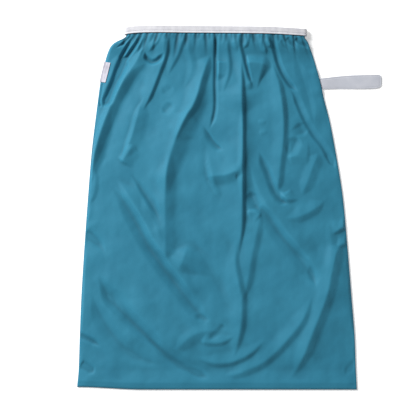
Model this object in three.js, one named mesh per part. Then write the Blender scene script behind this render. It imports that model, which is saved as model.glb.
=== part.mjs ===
// A soft pail liner: a cloth bag laid flat, gathered at its mouth into an elastic loop.
// Millimetres, +Y from the hem to the mouth, +Z up from the surface that the bag lies on.

import * as THREE from 'three';

// Driving dimensions
const CLOTH = 1.3;
const CLEARANCE = 0.3;
const SEAM_ALLOWANCE = 8;
const HEM_Y = -356;
const HEM_CORNER_LIFT = 5;
const HEM_CORNER_RUN = 130;
const CROWN = 20;
const CROWN_RUN = 60;
const FOLD_RIM = 26;
const LOWEST_INSIDE = 7;

const BAND_WIDTH = 14;
const BAND_THICKNESS = 1.4;
const BAND_HEIGHT = 22;
const BAND_LEFT = -182.5;
const BAND_RIGHT = 176.5;
const BAND_CORNER = 6;
const BAND_Y = 349.8;
const BAND_DROOP = 3.8;
const BAND_SEGMENT = 14;
const BAND_CORNER_STEPS = 3;

const MOUTH_RUN = 22;
const GATHERS = 12;
const COLUMNS_PER_GATHER = 4;
const FRONT_GATHER = 3;
const BACK_GATHER = 1.2;
const GATHER_START_Y = 270;
const GATHER_FULL_Y = 338;
const BACK_LIFT_START_Y = 300;
const BACK_LIFT_FULL_Y = 334;
const ROW_STEP = 20;
const BACK_COLUMNS = 24;

const STRAP_THICKNESS = 1.6;
const STRAP_ROOT_X = 196;
const STRAP_LOW = 234;
const STRAP_HIGH = 262;
const STRAP_DROP_X = 244;
const STRAP_ROWS = 4;
const STRAP_MARGIN = 2;
const STRAP_RAMP = 10;
const STRAP_RAMP_INWARD = 40;
const LABEL_THICKNESS = 1;
const LABEL_WIDTH = 13;
const LABEL_TOP_Y = 286;
const LABEL_BOTTOM_Y = 247;
const LABEL_OVERHANG = 2.5;
const LABEL_GAP = 0.6;
const LABEL_STEPS = 4;

// The bag's two side edges, a row for each height from the hem to the mouth
const OUTLINE = [
  { y: HEM_Y, left: -275, right: 275 },
  { y: -318, left: -272, right: 273 },
  { y: -259, left: -270, right: 271 },
  { y: -181, left: -267, right: 265 },
  { y: -82, left: -261, right: 257 },
  { y: 16, left: -254, right: 248 },
  { y: 114, left: -246, right: 232.5 },
  { y: 173, left: -239, right: 221 },
  { y: 212, left: -234, right: 211 },
  { y: 251, left: -228.5, right: 202 },
  { y: 291, left: -219, right: 191 },
  { y: 310, left: -213, right: 185 },
  { y: 322, left: -207, right: 181.5 },
  { y: 330, left: -198, right: 179 },
  { y: 336, left: -186, right: 175.5 },
  { y: 340, left: -178.5, right: 172.5 },
  { y: 352, left: -177.5, right: 171.5 },
];

// The distances of the columns nearest a side seam from that seam
const EDGE_INSETS = [0, SEAM_ALLOWANCE, 18, 30];

// The strap's two long edges, a row for each distance from the bag
const STRAP = [
  { x: STRAP_ROOT_X, low: STRAP_LOW, high: 254 },
  { x: 210, low: STRAP_LOW, high: 255.5 },
  { x: 226, low: STRAP_LOW, high: 257.5 },
  { x: STRAP_DROP_X, low: STRAP_LOW, high: 259.5 },
  { x: 265, low: STRAP_LOW, high: 261 },
  { x: 300, low: 234.5, high: STRAP_HIGH },
  { x: 314, low: 236.5, high: STRAP_HIGH },
  { x: 320, low: 240, high: 260.5 },
  { x: 323, low: 245, high: 257 },
];

// A cross profile for each kind of fold, by the distance from its line in widths.
// A roll falls from a crest on one side of its line to a hollow on the other.
const PROFILES = {
  roll: (q) => -q * Math.exp((1 - q * q) / 2),
  groove: (q) => -Math.exp(-q * q),
  ridge: (q) => Math.exp(-q * q),
};

// The share of a fold's length over which it rises at its head and dies away at its tail
const FADES = {
  both: { head: 0.3, tail: 0.3 },
  tail: { head: 0, tail: 0.45 },
};

// The front panel's main folds, each along a line from its upper end to its lower end
const FOLDS = [
  { name: 'middle crease, upper', kind: 'roll', width: 15, height: 4.5, fade: 'both',
    path: [[48, 290], [49, 228], [56, 110], [52, -25], [43, -110]] },
  { name: 'middle crease, lower', kind: 'roll', width: 15, height: 4, fade: 'both',
    path: [[43, -60], [48, -150], [53, -195], [34, -296]] },
  { name: 'middle fork', kind: 'roll', width: 15, height: 3, fade: 'both',
    path: [[88, -20], [70, -105], [54, -215]] },
  { name: 'mouth crease, centre', kind: 'roll', width: 10, height: 2.6, fade: 'tail',
    path: [[0, 342], [-7, 250], [-18, 150]] },
  { name: 'mouth crease, left', kind: 'roll', width: 14, height: 4.4, fade: 'tail',
    path: [[-95, 342], [-106, 285], [-138, 206], [-178, 108]] },
  { name: 'mouth crease, right', kind: 'roll', width: 11, height: 2.8, fade: 'tail',
    path: [[50, 342], [56, 285], [72, 230]] },
  { name: 'left long roll', kind: 'roll', width: 19, height: 5.5, fade: 'both',
    path: [[-8, 310], [-42, 205], [-90, 60], [-90, -20], [-104, -112]] },
  { name: 'left swell', kind: 'ridge', width: 34, height: 4, fade: 'both',
    path: [[-96, 220], [-112, 150], [-126, 10]] },
  { name: 'shoulder ridge', kind: 'roll', width: 13, height: 3.6, fade: 'both',
    path: [[-128, 312], [-180, 250], [-228, 130], [-248, 20]] },
  { name: 'shoulder crease', kind: 'roll', width: 10, height: 2.6, fade: 'tail',
    path: [[-145, 344], [-176, 299], [-206, 246]] },
  { name: 'diagonal ridge', kind: 'ridge', width: 17, height: 5, fade: 'both',
    path: [[-204, 92], [-158, 4], [-122, -68], [-76, -140]] },
  { name: 'diagonal roll', kind: 'roll', width: 18, height: -4.2, fade: 'both',
    path: [[-216, 66], [-164, -34], [-92, -144], [-8, -232]] },
  { name: 'lower left roll', kind: 'roll', width: 22, height: -6.5, fade: 'both',
    path: [[-240, -120], [-175, -224], [-104, -289], [-10, -336]] },
  { name: 'lower left hollow', kind: 'roll', width: 22, height: -4, fade: 'both',
    path: [[-252, -190], [-176, -290], [-120, -318]] },
  { name: 'belly swell', kind: 'ridge', width: 26, height: 4.5, fade: 'both',
    path: [[22, 190], [16, 130], [8, 76]] },
  { name: 'belly dent', kind: 'groove', width: 12, height: 3.6, fade: 'both',
    path: [[-30, 74], [6, 50], [50, 72]] },
  { name: 'right long crease', kind: 'roll', width: 10, height: 2.4, fade: 'both',
    path: [[80, 342], [114, 287], [162, 220]] },
  { name: 'right inner crease', kind: 'roll', width: 14, height: 3.4, fade: 'both',
    path: [[110, 312], [133, 205], [138, 124], [122, 22]] },
  { name: 'right outer crease', kind: 'roll', width: 12, height: 2.8, fade: 'both',
    path: [[140, 232], [182, 150], [228, 82]] },
  { name: 'right hook', kind: 'roll', width: 13, height: -3.4, fade: 'both',
    path: [[76, 92], [106, 28], [122, 13], [156, 14]] },
  { name: 'right long ridge', kind: 'ridge', width: 14, height: 3.6, fade: 'both',
    path: [[62, 80], [102, 8], [152, -73], [210, -120]] },
  { name: 'right bowl', kind: 'roll', width: 14, height: 4.2, fade: 'both',
    path: [[222, 30], [184, -10], [118, -18]] },
  { name: 'right edge fold', kind: 'roll', width: 20, height: 6.5, fade: 'both',
    path: [[262, -48], [234, -115], [210, -220], [164, -316], [130, -344]] },
  { name: 'outer bowl', kind: 'roll', width: 17, height: 5, fade: 'both',
    path: [[190, -186], [140, -265], [80, -318], [0, -336]] },
  { name: 'inner bowl', kind: 'roll', width: 15, height: 4.4, fade: 'both',
    path: [[92, -248], [42, -301], [8, -311], [-44, -298]] },
  { name: 'bottom dent', kind: 'roll', width: 14, height: 4, fade: 'both',
    path: [[14, -250], [-46, -252], [-84, -282]] },
];

const FOLD_STEPS = 40;
const FOLD_REACH = 3.5;

function smooth(from, to, value) {
  const t = THREE.MathUtils.clamp((value - from) / (to - from), 0, 1);
  return t * t * (3 - 2 * t);
}

// The value of a named column of a table at a place between two of its rows
function tableAt(table, key, column, place) {
  const last = table.length - 1;
  const next = Math.max(1, table.findIndex((row, i) => row[key] >= place || i === last));
  const a = table[next - 1];
  const b = table[next];
  const t = THREE.MathUtils.clamp((place - a[key]) / (b[key] - a[key]), 0, 1);
  return a[column] + (b[column] - a[column]) * t;
}

function foldLine(fold) {
  const corners = fold.path.map(([x, y]) => new THREE.Vector2(x, y));
  return new THREE.SplineCurve(corners).getSpacedPoints(FOLD_STEPS);
}

const FOLD_LINES = FOLDS.map((fold) => ({ ...fold, line: foldLine(fold) }));

// How far along a fold's line a point lies, and its distance to the right of that line
function placeOnLine(line, point) {
  let best = { distance: Infinity, side: 0, along: 0 };
  for (let i = 0; i < line.length - 1; i += 1) {
    const run = line[i + 1].clone().sub(line[i]);
    const reach = point.clone().sub(line[i]);
    const t = THREE.MathUtils.clamp(reach.dot(run) / run.lengthSq(), 0, 1);
    const distance = reach.clone().addScaledVector(run, -t).length();
    if (distance < best.distance) {
      best = { distance, side: Math.sign(run.cross(reach)), along: (i + t) / (line.length - 1) };
    }
  }
  return best;
}

function foldHeight(fold, point) {
  const { distance, side, along } = placeOnLine(fold.line, point);
  if (distance > FOLD_REACH * fold.width) {
    return 0;
  }
  const { head, tail } = FADES[fold.fade];
  const rise = head ? smooth(0, head, along) : 1;
  const fall = tail ? smooth(0, tail, 1 - along) : 1;
  return fold.height * rise * fall * PROFILES[fold.kind]((side * distance) / fold.width);
}

// The elastic sags a little towards both ends of the mouth
function bandY(x) {
  const middle = (BAND_LEFT + BAND_RIGHT) / 2;
  const half = (BAND_RIGHT - BAND_LEFT) / 2;
  return BAND_Y - BAND_DROOP * ((x - middle) / half) ** 4;
}

// Where a point of a level row lies: rows follow the elastic at the mouth,
// and the hem's left corner is drawn up
function rowY(x, y) {
  const droop = (bandY(x) - BAND_Y) * smooth(BACK_LIFT_START_Y, GATHER_FULL_Y, y);
  const corner = smooth(OUTLINE[0].left + HEM_CORNER_RUN, OUTLINE[0].left, x);
  return y + droop + HEM_CORNER_LIFT * corner * smooth(OUTLINE[1].y, HEM_Y, y);
}

function gatherWave(t) {
  return Math.cos(2 * Math.PI * GATHERS * t);
}

// Middle height of the back panel: flat on the surface, lifted over the elastic at the mouth
function backHeight(t, y) {
  const lift = BAND_THICKNESS + CLEARANCE + BACK_GATHER * (1 + gatherWave(t));
  return CLOTH / 2 + lift * smooth(BACK_LIFT_START_Y, BACK_LIFT_FULL_Y, y);
}

// Room for the strap between the two seam allowances, with a short ramp round it
function strapLift(x, y) {
  const low = STRAP_LOW - STRAP_MARGIN;
  const high = STRAP_HIGH + STRAP_MARGIN;
  const inner = STRAP_ROOT_X - 3 * STRAP_MARGIN;
  const across = smooth(low - STRAP_RAMP, low, y) * smooth(high + STRAP_RAMP, high, y);
  return (STRAP_THICKNESS + CLEARANCE) * across * smooth(inner - STRAP_RAMP_INWARD, inner, x);
}

// Middle height of the front panel: a low crown with its folds, gathered up to the elastic
function frontHeight(x, y, t, inset) {
  const edge = backHeight(0, y) + CLOTH + CLEARANCE + strapLift(x, y);
  const within = Math.max(0, inset - SEAM_ALLOWANCE);
  const above = Math.max(0, y - HEM_Y - SEAM_ALLOWANCE);
  const crown = CROWN * (1 - Math.exp(-within / CROWN_RUN)) * (1 - Math.exp(-above / CROWN_RUN));
  const rim = smooth(0, FOLD_RIM, within) * smooth(0, FOLD_RIM, above);
  const point = new THREE.Vector2(x, y);
  const folds = FOLD_LINES.reduce((sum, fold) => sum + foldHeight(fold, point), 0);
  const lowest = edge + (LOWEST_INSIDE - CLOTH) * rim;
  const body = Math.max(lowest, edge + crown + folds * rim);
  const top = BAND_HEIGHT - BAND_THICKNESS - CLEARANCE - CLOTH / 2 - FRONT_GATHER;
  const mouth = edge + (top - edge + FRONT_GATHER * gatherWave(t)) * smooth(0, MOUTH_RUN, within);
  return THREE.MathUtils.lerp(body, mouth, smooth(GATHER_START_Y, GATHER_FULL_Y, y));
}

// A wall of even thickness about a grid of points, closed round its rim
function wallSolid(grid, thickness, loop = false) {
  const rows = grid.length;
  const columns = grid[0].length;
  const at = (r, c) => grid[THREE.MathUtils.clamp(r, 0, rows - 1)][
    loop ? (c + columns) % columns : THREE.MathUtils.clamp(c, 0, columns - 1)];
  const positions = [];
  for (const side of [1, -1]) {
    for (let r = 0; r < rows; r += 1) {
      for (let c = 0; c < columns; c += 1) {
        const across = at(r, c + 1).clone().sub(at(r, c - 1));
        const along = at(r + 1, c).clone().sub(at(r - 1, c));
        const normal = across.cross(along).normalize();
        positions.push(...at(r, c).clone().addScaledVector(normal, (side * thickness) / 2));
      }
    }
  }
  const layer = rows * columns;
  const index = (r, c) => r * columns + (c % columns);
  const faces = [];
  const quad = (a, b, c, d) => faces.push(a, b, c, a, c, d);
  const cells = loop ? columns : columns - 1;
  for (let c = 0; c < cells; c += 1) {
    for (let r = 0; r < rows - 1; r += 1) {
      const [a, b, d, e] = [index(r, c), index(r, c + 1), index(r + 1, c + 1), index(r + 1, c)];
      quad(a, b, d, e);
      quad(layer + e, layer + d, layer + b, layer + a);
    }
    const [low, lowNext] = [index(0, c), index(0, c + 1)];
    const [high, highNext] = [index(rows - 1, c), index(rows - 1, c + 1)];
    quad(low, layer + low, layer + lowNext, lowNext);
    quad(high, highNext, layer + highNext, layer + high);
  }
  for (let r = 0; r < rows - 1 && !loop; r += 1) {
    const [left, leftNext] = [index(r, 0), index(r + 1, 0)];
    const [right, rightNext] = [index(r, columns - 1), index(r + 1, columns - 1)];
    quad(left, leftNext, layer + leftNext, layer + left);
    quad(right, layer + right, layer + rightNext, rightNext);
  }
  const geometry = new THREE.BufferGeometry();
  geometry.setAttribute('position', new THREE.Float32BufferAttribute(positions, 3));
  geometry.setIndex(faces);
  geometry.computeVertexNormals();
  return geometry;
}

// The outline's heights, with more rows between those that lie far apart
function frontRows() {
  const rows = [OUTLINE[0].y];
  for (let i = 1; i < OUTLINE.length; i += 1) {
    const from = OUTLINE[i - 1].y;
    const steps = Math.ceil((OUTLINE[i].y - from) / ROW_STEP);
    for (let k = 1; k <= steps; k += 1) {
      rows.push(from + ((OUTLINE[i].y - from) * k) / steps);
    }
  }
  return rows;
}

function frontPanel() {
  const cells = GATHERS * COLUMNS_PER_GATHER;
  const deepest = EDGE_INSETS[EDGE_INSETS.length - 1];
  const grid = frontRows().map((y) => {
    const left = tableAt(OUTLINE, 'y', 'left', y);
    const right = tableAt(OUTLINE, 'y', 'right', y);
    const row = [];
    const place = (x, t) => {
      const inset = Math.min(x - left, right - x);
      row.push(new THREE.Vector3(x, rowY(x, y), frontHeight(x, y, t, inset)));
    };
    EDGE_INSETS.slice(0, -1).forEach((inset) => place(left + inset, 0));
    for (let k = 0; k <= cells; k += 1) {
      place(THREE.MathUtils.lerp(left + deepest, right - deepest, k / cells), k / cells);
    }
    EDGE_INSETS.slice(0, -1).reverse().forEach((inset) => place(right - inset, 1));
    return row;
  });
  return wallSolid(grid, CLOTH);
}

function backPanel() {
  const grid = OUTLINE.map(({ y, left, right }) => {
    const row = [];
    for (let k = 0; k <= BACK_COLUMNS; k += 1) {
      const t = k / BACK_COLUMNS;
      const x = THREE.MathUtils.lerp(left, right, t);
      row.push(new THREE.Vector3(x, rowY(x, y), backHeight(t, y)));
    }
    return row;
  });
  return wallSolid(grid, CLOTH);
}

// The middle line of the elastic loop, seen along the bag: a low box with round corners
function bandLoop() {
  const inset = BAND_THICKNESS / 2;
  const [left, right] = [BAND_LEFT + inset, BAND_RIGHT - inset];
  const [low, high] = [inset, BAND_HEIGHT - inset];
  const radius = BAND_CORNER - inset;
  const loop = new THREE.Path();
  loop.moveTo(left + radius, high);
  loop.lineTo(right - radius, high);
  loop.absarc(right - radius, high - radius, radius, Math.PI / 2, 0, true);
  loop.lineTo(right, low + radius);
  loop.absarc(right - radius, low + radius, radius, 0, -Math.PI / 2, true);
  loop.lineTo(left + radius, low);
  loop.absarc(left + radius, low + radius, radius, -Math.PI / 2, -Math.PI, true);
  loop.lineTo(left, high - radius);
  loop.absarc(left + radius, high - radius, radius, Math.PI, Math.PI / 2, true);
  const corners = loop.getPoints(BAND_CORNER_STEPS).slice(0, -1);
  return corners.flatMap((point, i) => {
    const next = corners[(i + 1) % corners.length];
    const steps = Math.max(1, Math.round(point.distanceTo(next) / BAND_SEGMENT));
    return Array.from({ length: steps }, (_, k) => point.clone().lerp(next, k / steps));
  });
}

function elasticBand() {
  const loop = bandLoop();
  const grid = [-0.5, 0, 0.5].map((share) =>
    loop.map((p) => new THREE.Vector3(p.x, bandY(p.x) + share * BAND_WIDTH, p.y)));
  return wallSolid(grid, BAND_THICKNESS, true);
}

// The strap leaves the seam between the panels and comes down to lie on the surface
function sideStrap() {
  const rootZ = CLOTH + CLEARANCE + STRAP_THICKNESS / 2;
  const seamX = tableAt(OUTLINE, 'y', 'right', STRAP[0].low) + CLEARANCE;
  const grid = [];
  for (let r = 0; r <= STRAP_ROWS; r += 1) {
    grid.push(STRAP.map(({ x, low, high }) => {
      const z = THREE.MathUtils.lerp(rootZ, STRAP_THICKNESS / 2, smooth(seamX, STRAP_DROP_X, x));
      return new THREE.Vector3(x, THREE.MathUtils.lerp(low, high, r / STRAP_ROWS), z);
    }));
  }
  return wallSolid(grid, STRAP_THICKNESS);
}

// The bare label lies on the left seam and stands a little past its edge
function sideLabel() {
  const grid = [];
  for (let r = 0; r <= LABEL_STEPS; r += 1) {
    const y = THREE.MathUtils.lerp(LABEL_BOTTOM_Y, LABEL_TOP_Y, r / LABEL_STEPS);
    const edge = tableAt(OUTLINE, 'y', 'left', y);
    const row = [];
    for (let c = 0; c <= LABEL_STEPS; c += 1) {
      const inset = (LABEL_WIDTH * c) / LABEL_STEPS - LABEL_OVERHANG;
      const under = frontHeight(edge + Math.max(0, inset), y, 0, Math.max(0, inset));
      const z = under + CLOTH / 2 + LABEL_GAP + LABEL_THICKNESS / 2;
      row.push(new THREE.Vector3(edge + inset, y, z));
    }
    grid.push(row);
  }
  return wallSolid(grid, LABEL_THICKNESS);
}

const FINISHES = {
  cloth: { color: 0x3e87a0, roughness: 0.62, metalness: 0 },
  elastic: { color: 0xd6d7de, roughness: 0.8, metalness: 0 },
  strap: { color: 0xcdd0d9, roughness: 0.8, metalness: 0 },
  label: { color: 0xd2d2dc, roughness: 0.55, metalness: 0 },
};

const PIECES = [
  { name: 'back_panel', geometry: backPanel(), finish: FINISHES.cloth },
  { name: 'front_panel', geometry: frontPanel(), finish: FINISHES.cloth },
  { name: 'elastic_band', geometry: elasticBand(), finish: FINISHES.elastic },
  { name: 'side_strap', geometry: sideStrap(), finish: FINISHES.strap },
  { name: 'side_label', geometry: sideLabel(), finish: FINISHES.label },
];

const liner = new THREE.Group();
for (const { name, geometry, finish } of PIECES) {
  const mesh = new THREE.Mesh(geometry, new THREE.MeshStandardMaterial(finish));
  mesh.name = name;
  liner.add(mesh);
}

export default liner;
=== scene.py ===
"""Dress the pail liner: two cloth panels, the elastic at the mouth, a strap and a bare label.

Tables and sizes are in millimetres, in the CAD model's frame, and meshes are in metres.
"""

import logging
import math
from dataclasses import dataclass
from enum import Enum
from typing import Any

import bmesh
import bpy
import numpy as np
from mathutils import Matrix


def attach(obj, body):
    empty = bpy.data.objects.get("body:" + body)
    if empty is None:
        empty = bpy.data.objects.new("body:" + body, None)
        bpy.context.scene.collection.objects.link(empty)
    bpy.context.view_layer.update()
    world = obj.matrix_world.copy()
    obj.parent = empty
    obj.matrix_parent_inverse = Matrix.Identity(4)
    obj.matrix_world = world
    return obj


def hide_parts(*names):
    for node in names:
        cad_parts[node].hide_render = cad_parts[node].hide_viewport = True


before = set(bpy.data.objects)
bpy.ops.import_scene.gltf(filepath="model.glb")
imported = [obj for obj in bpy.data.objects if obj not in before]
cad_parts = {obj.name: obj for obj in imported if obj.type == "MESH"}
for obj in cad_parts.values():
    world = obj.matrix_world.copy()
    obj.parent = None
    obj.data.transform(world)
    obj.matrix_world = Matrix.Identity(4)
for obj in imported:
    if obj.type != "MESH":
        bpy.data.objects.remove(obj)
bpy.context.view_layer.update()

log = logging.getLogger("liner")

Array = np.ndarray
Point = tuple[float, float]
Range = tuple[float, float]
Colour = tuple[float, float, float]
Socket = bpy.types.NodeSocket

MM = 0.001
HEM_Y = -357.0
MOUTH_Y = 352.0
CLEARANCE = 0.3


def smooth(low: float, high: float, value: Array) -> Array:
    """Ease from 0 to 1 between two values.

    Args:
        low: The value that gives 0.
        high: The value that gives 1; it may be below low.
        value: The places to ease.

    Returns:
        The eased shares.
    """
    t = np.clip((np.asarray(value, float) - low) / (high - low), 0.0, 1.0)
    return t * t * (3.0 - 2.0 * t)


def crowded(start: float, end: float, count: int, crowd: float) -> Array:
    """Share out places between two ends, closer together towards the second one.

    Args:
        start: The first place.
        end: The last place.
        count: How many places there are.
        crowd: How much closer they come, 0 for even steps.

    Returns:
        The places.
    """
    s = np.linspace(0.0, 1.0, count)
    return start + (end - start) * s * (1 + crowd - crowd * s)


def ease_through(places: Array, values: Array, at: Array) -> Array:
    """Draw a smooth line through a table without overshooting its rows.

    Args:
        places: The table's places, rising.
        values: The value at each place.
        at: Where the line is read.

    Returns:
        The line's values.
    """
    step = np.diff(places)
    slope = np.diff(values) / step
    lean = np.zeros_like(values)
    before, after = 2 * step[1:] + step[:-1], step[1:] + 2 * step[:-1]
    same = slope[:-1] * slope[1:] > 0
    first = np.where(same, slope[:-1], 1.0)
    second = np.where(same, slope[1:], 1.0)
    lean[1:-1] = np.where(same, (before + after) / (before / first + after / second), 0.0)
    lean[0], lean[-1] = slope[0], slope[-1]
    i = np.clip(np.searchsorted(places, at) - 1, 0, len(step) - 1)
    t = np.clip((at - places[i]) / step[i], 0.0, 1.0)
    rise = t * t * (3 - 2 * t)
    start = values[i] * (1 - rise) + values[i + 1] * rise
    return start + step[i] * t * (1 - t) * ((1 - t) * lean[i] - t * lean[i + 1])


def spline(path: tuple[Point, ...], steps: int = 8) -> Array:
    """Draw a smooth line through the points of a path.

    Args:
        path: The points.
        steps: How many pieces each span is cut into.

    Returns:
        The line's points, one a row.
    """
    points = np.array(path, float)
    ends = np.vstack([2 * points[0] - points[1], points, 2 * points[-1] - points[-2]])
    line = []
    for i in range(len(points) - 1):
        a, b, c, d = ends[i:i + 4]
        t = np.arange(steps)[:, None] / steps
        cubic = 3 * b - a - 3 * c + d
        line.append(0.5 * (2 * b + (c - a) * t + (2 * a - 5 * b + 4 * c - d) * t**2 + cubic * t**3))
    return np.vstack(line + [points[-1:]])


class FoldKind(Enum):
    """Whether a fold stands up from the cloth or sinks into it."""

    RIDGE = 1.0
    VALLEY = -1.0


@dataclass(frozen=True)
class Fold:
    """One fold, along a line that is read from its upper end to its lower end.

    With the line running down the page, left and right are how far the fold reaches on
    either side. Rise and fall are the shares of the line over which it grows and dies away.
    A power above 1 hollows its flanks, so that they are steepest at the line.
    """

    name: str
    kind: FoldKind
    left: float
    right: float
    height: float
    rise: float
    fall: float
    path: tuple[Point, ...]
    power: float = 1.0

    ROUNDING = 1.6
    MOST_ROUNDING = 0.35
    FOOT = 0.22
    END_REACH = 0.2
    MARGIN = 1.0
    SHORTEST = 1e-9

    def heights(self, x: Array, y: Array) -> Array:
        """Measure how far the fold lifts or lowers the cloth.

        Args:
            x: Places across the bag.
            y: Places along the bag.

        Returns:
            The change of height at each place.
        """
        out = np.zeros_like(x)
        line = spline(self.path)
        margin = max(self.left, self.right) * (1 + self.FOOT) + self.MARGIN
        low, high = line.min(axis=0) - margin, line.max(axis=0) + margin
        near = (x > low[0]) & (x < high[0]) & (y > low[1]) & (y < high[1])
        if near.any():
            out[near] = self._near_heights(x[near], y[near], line)
        return out

    def _near_heights(self, x: Array, y: Array, line: Array) -> Array:
        """Measure the fold at places close to its line.

        Args:
            x: Places across the bag.
            y: Places along the bag.
            line: The points of the fold's line.

        Returns:
            The change of height at each place.
        """
        run = np.diff(line, axis=0)
        length = np.hypot(run[:, 0], run[:, 1]) + self.SHORTEST
        start = np.concatenate([[0.0], np.cumsum(length)])
        best = np.full(x.shape, np.inf)
        side = np.zeros_like(x)
        along = np.zeros_like(x)
        for i in range(len(run)):
            rx, ry = x - line[i, 0], y - line[i, 1]
            t = np.clip((rx * run[i, 0] + ry * run[i, 1]) / length[i]**2, 0.0, 1.0)
            gap = (rx - t * run[i, 0])**2 + (ry - t * run[i, 1])**2
            closer = gap < best
            best = np.where(closer, gap, best)
            side = np.where(closer, run[i, 0] * ry - run[i, 1] * rx, side)
            along = np.where(closer, start[i] + t * length[i], along)
        reach = np.where(side < 0, self.left, self.right)
        share = along / start[-1]
        fade = np.ones_like(share)
        if self.rise:
            fade = fade * smooth(0.0, self.rise, share)
        if self.fall:
            fade = fade * smooth(0.0, self.fall, 1.0 - share)
        reach = reach * (self.END_REACH + (1 - self.END_REACH) * fade)
        rounding = np.minimum(self.MOST_ROUNDING, self.ROUNDING / reach)
        q = np.sqrt(best) / reach
        flank = 1.0 - np.sqrt(q * q + rounding * rounding) + rounding
        foot = np.clip(flank + self.FOOT, 0.0, 2 * self.FOOT)**2 / (4 * self.FOOT)
        flank = np.where(flank > self.FOOT, flank, foot)
        return self.kind.value * self.height * fade * flank**self.power


RIDGE, VALLEY = FoldKind.RIDGE, FoldKind.VALLEY

SWELL_TOP = ((-15, 300), (-20, 285), (-25, 270), (-32, 248), (-38, 225), (-44, 208), (-50.5, 195),
             (-59.5, 182), (-70, 162), (-79.5, 139), (-87, 118))
SWELL = SWELL_TOP + ((-94.5, 95), (-100, 70), (-101, 45), (-101, 10))
INNER_TOP = ((107, 290), (114, 262), (119.5, 245), (123.5, 225), (127, 200), (129, 175), (129.5, 155),
             (129, 138), (127.5, 118), (124.5, 95))
INNER = INNER_TOP + ((121, 65), (117.5, 30))
RIGHT_SIDE = ((244, -68), (233.5, -86), (228, -110), (223, -130), (218.5, -155), (211.5, -180), (202, -205),
              (192, -230), (182, -255), (172.5, -280), (164, -300), (154.5, -318), (141, -336))

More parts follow.
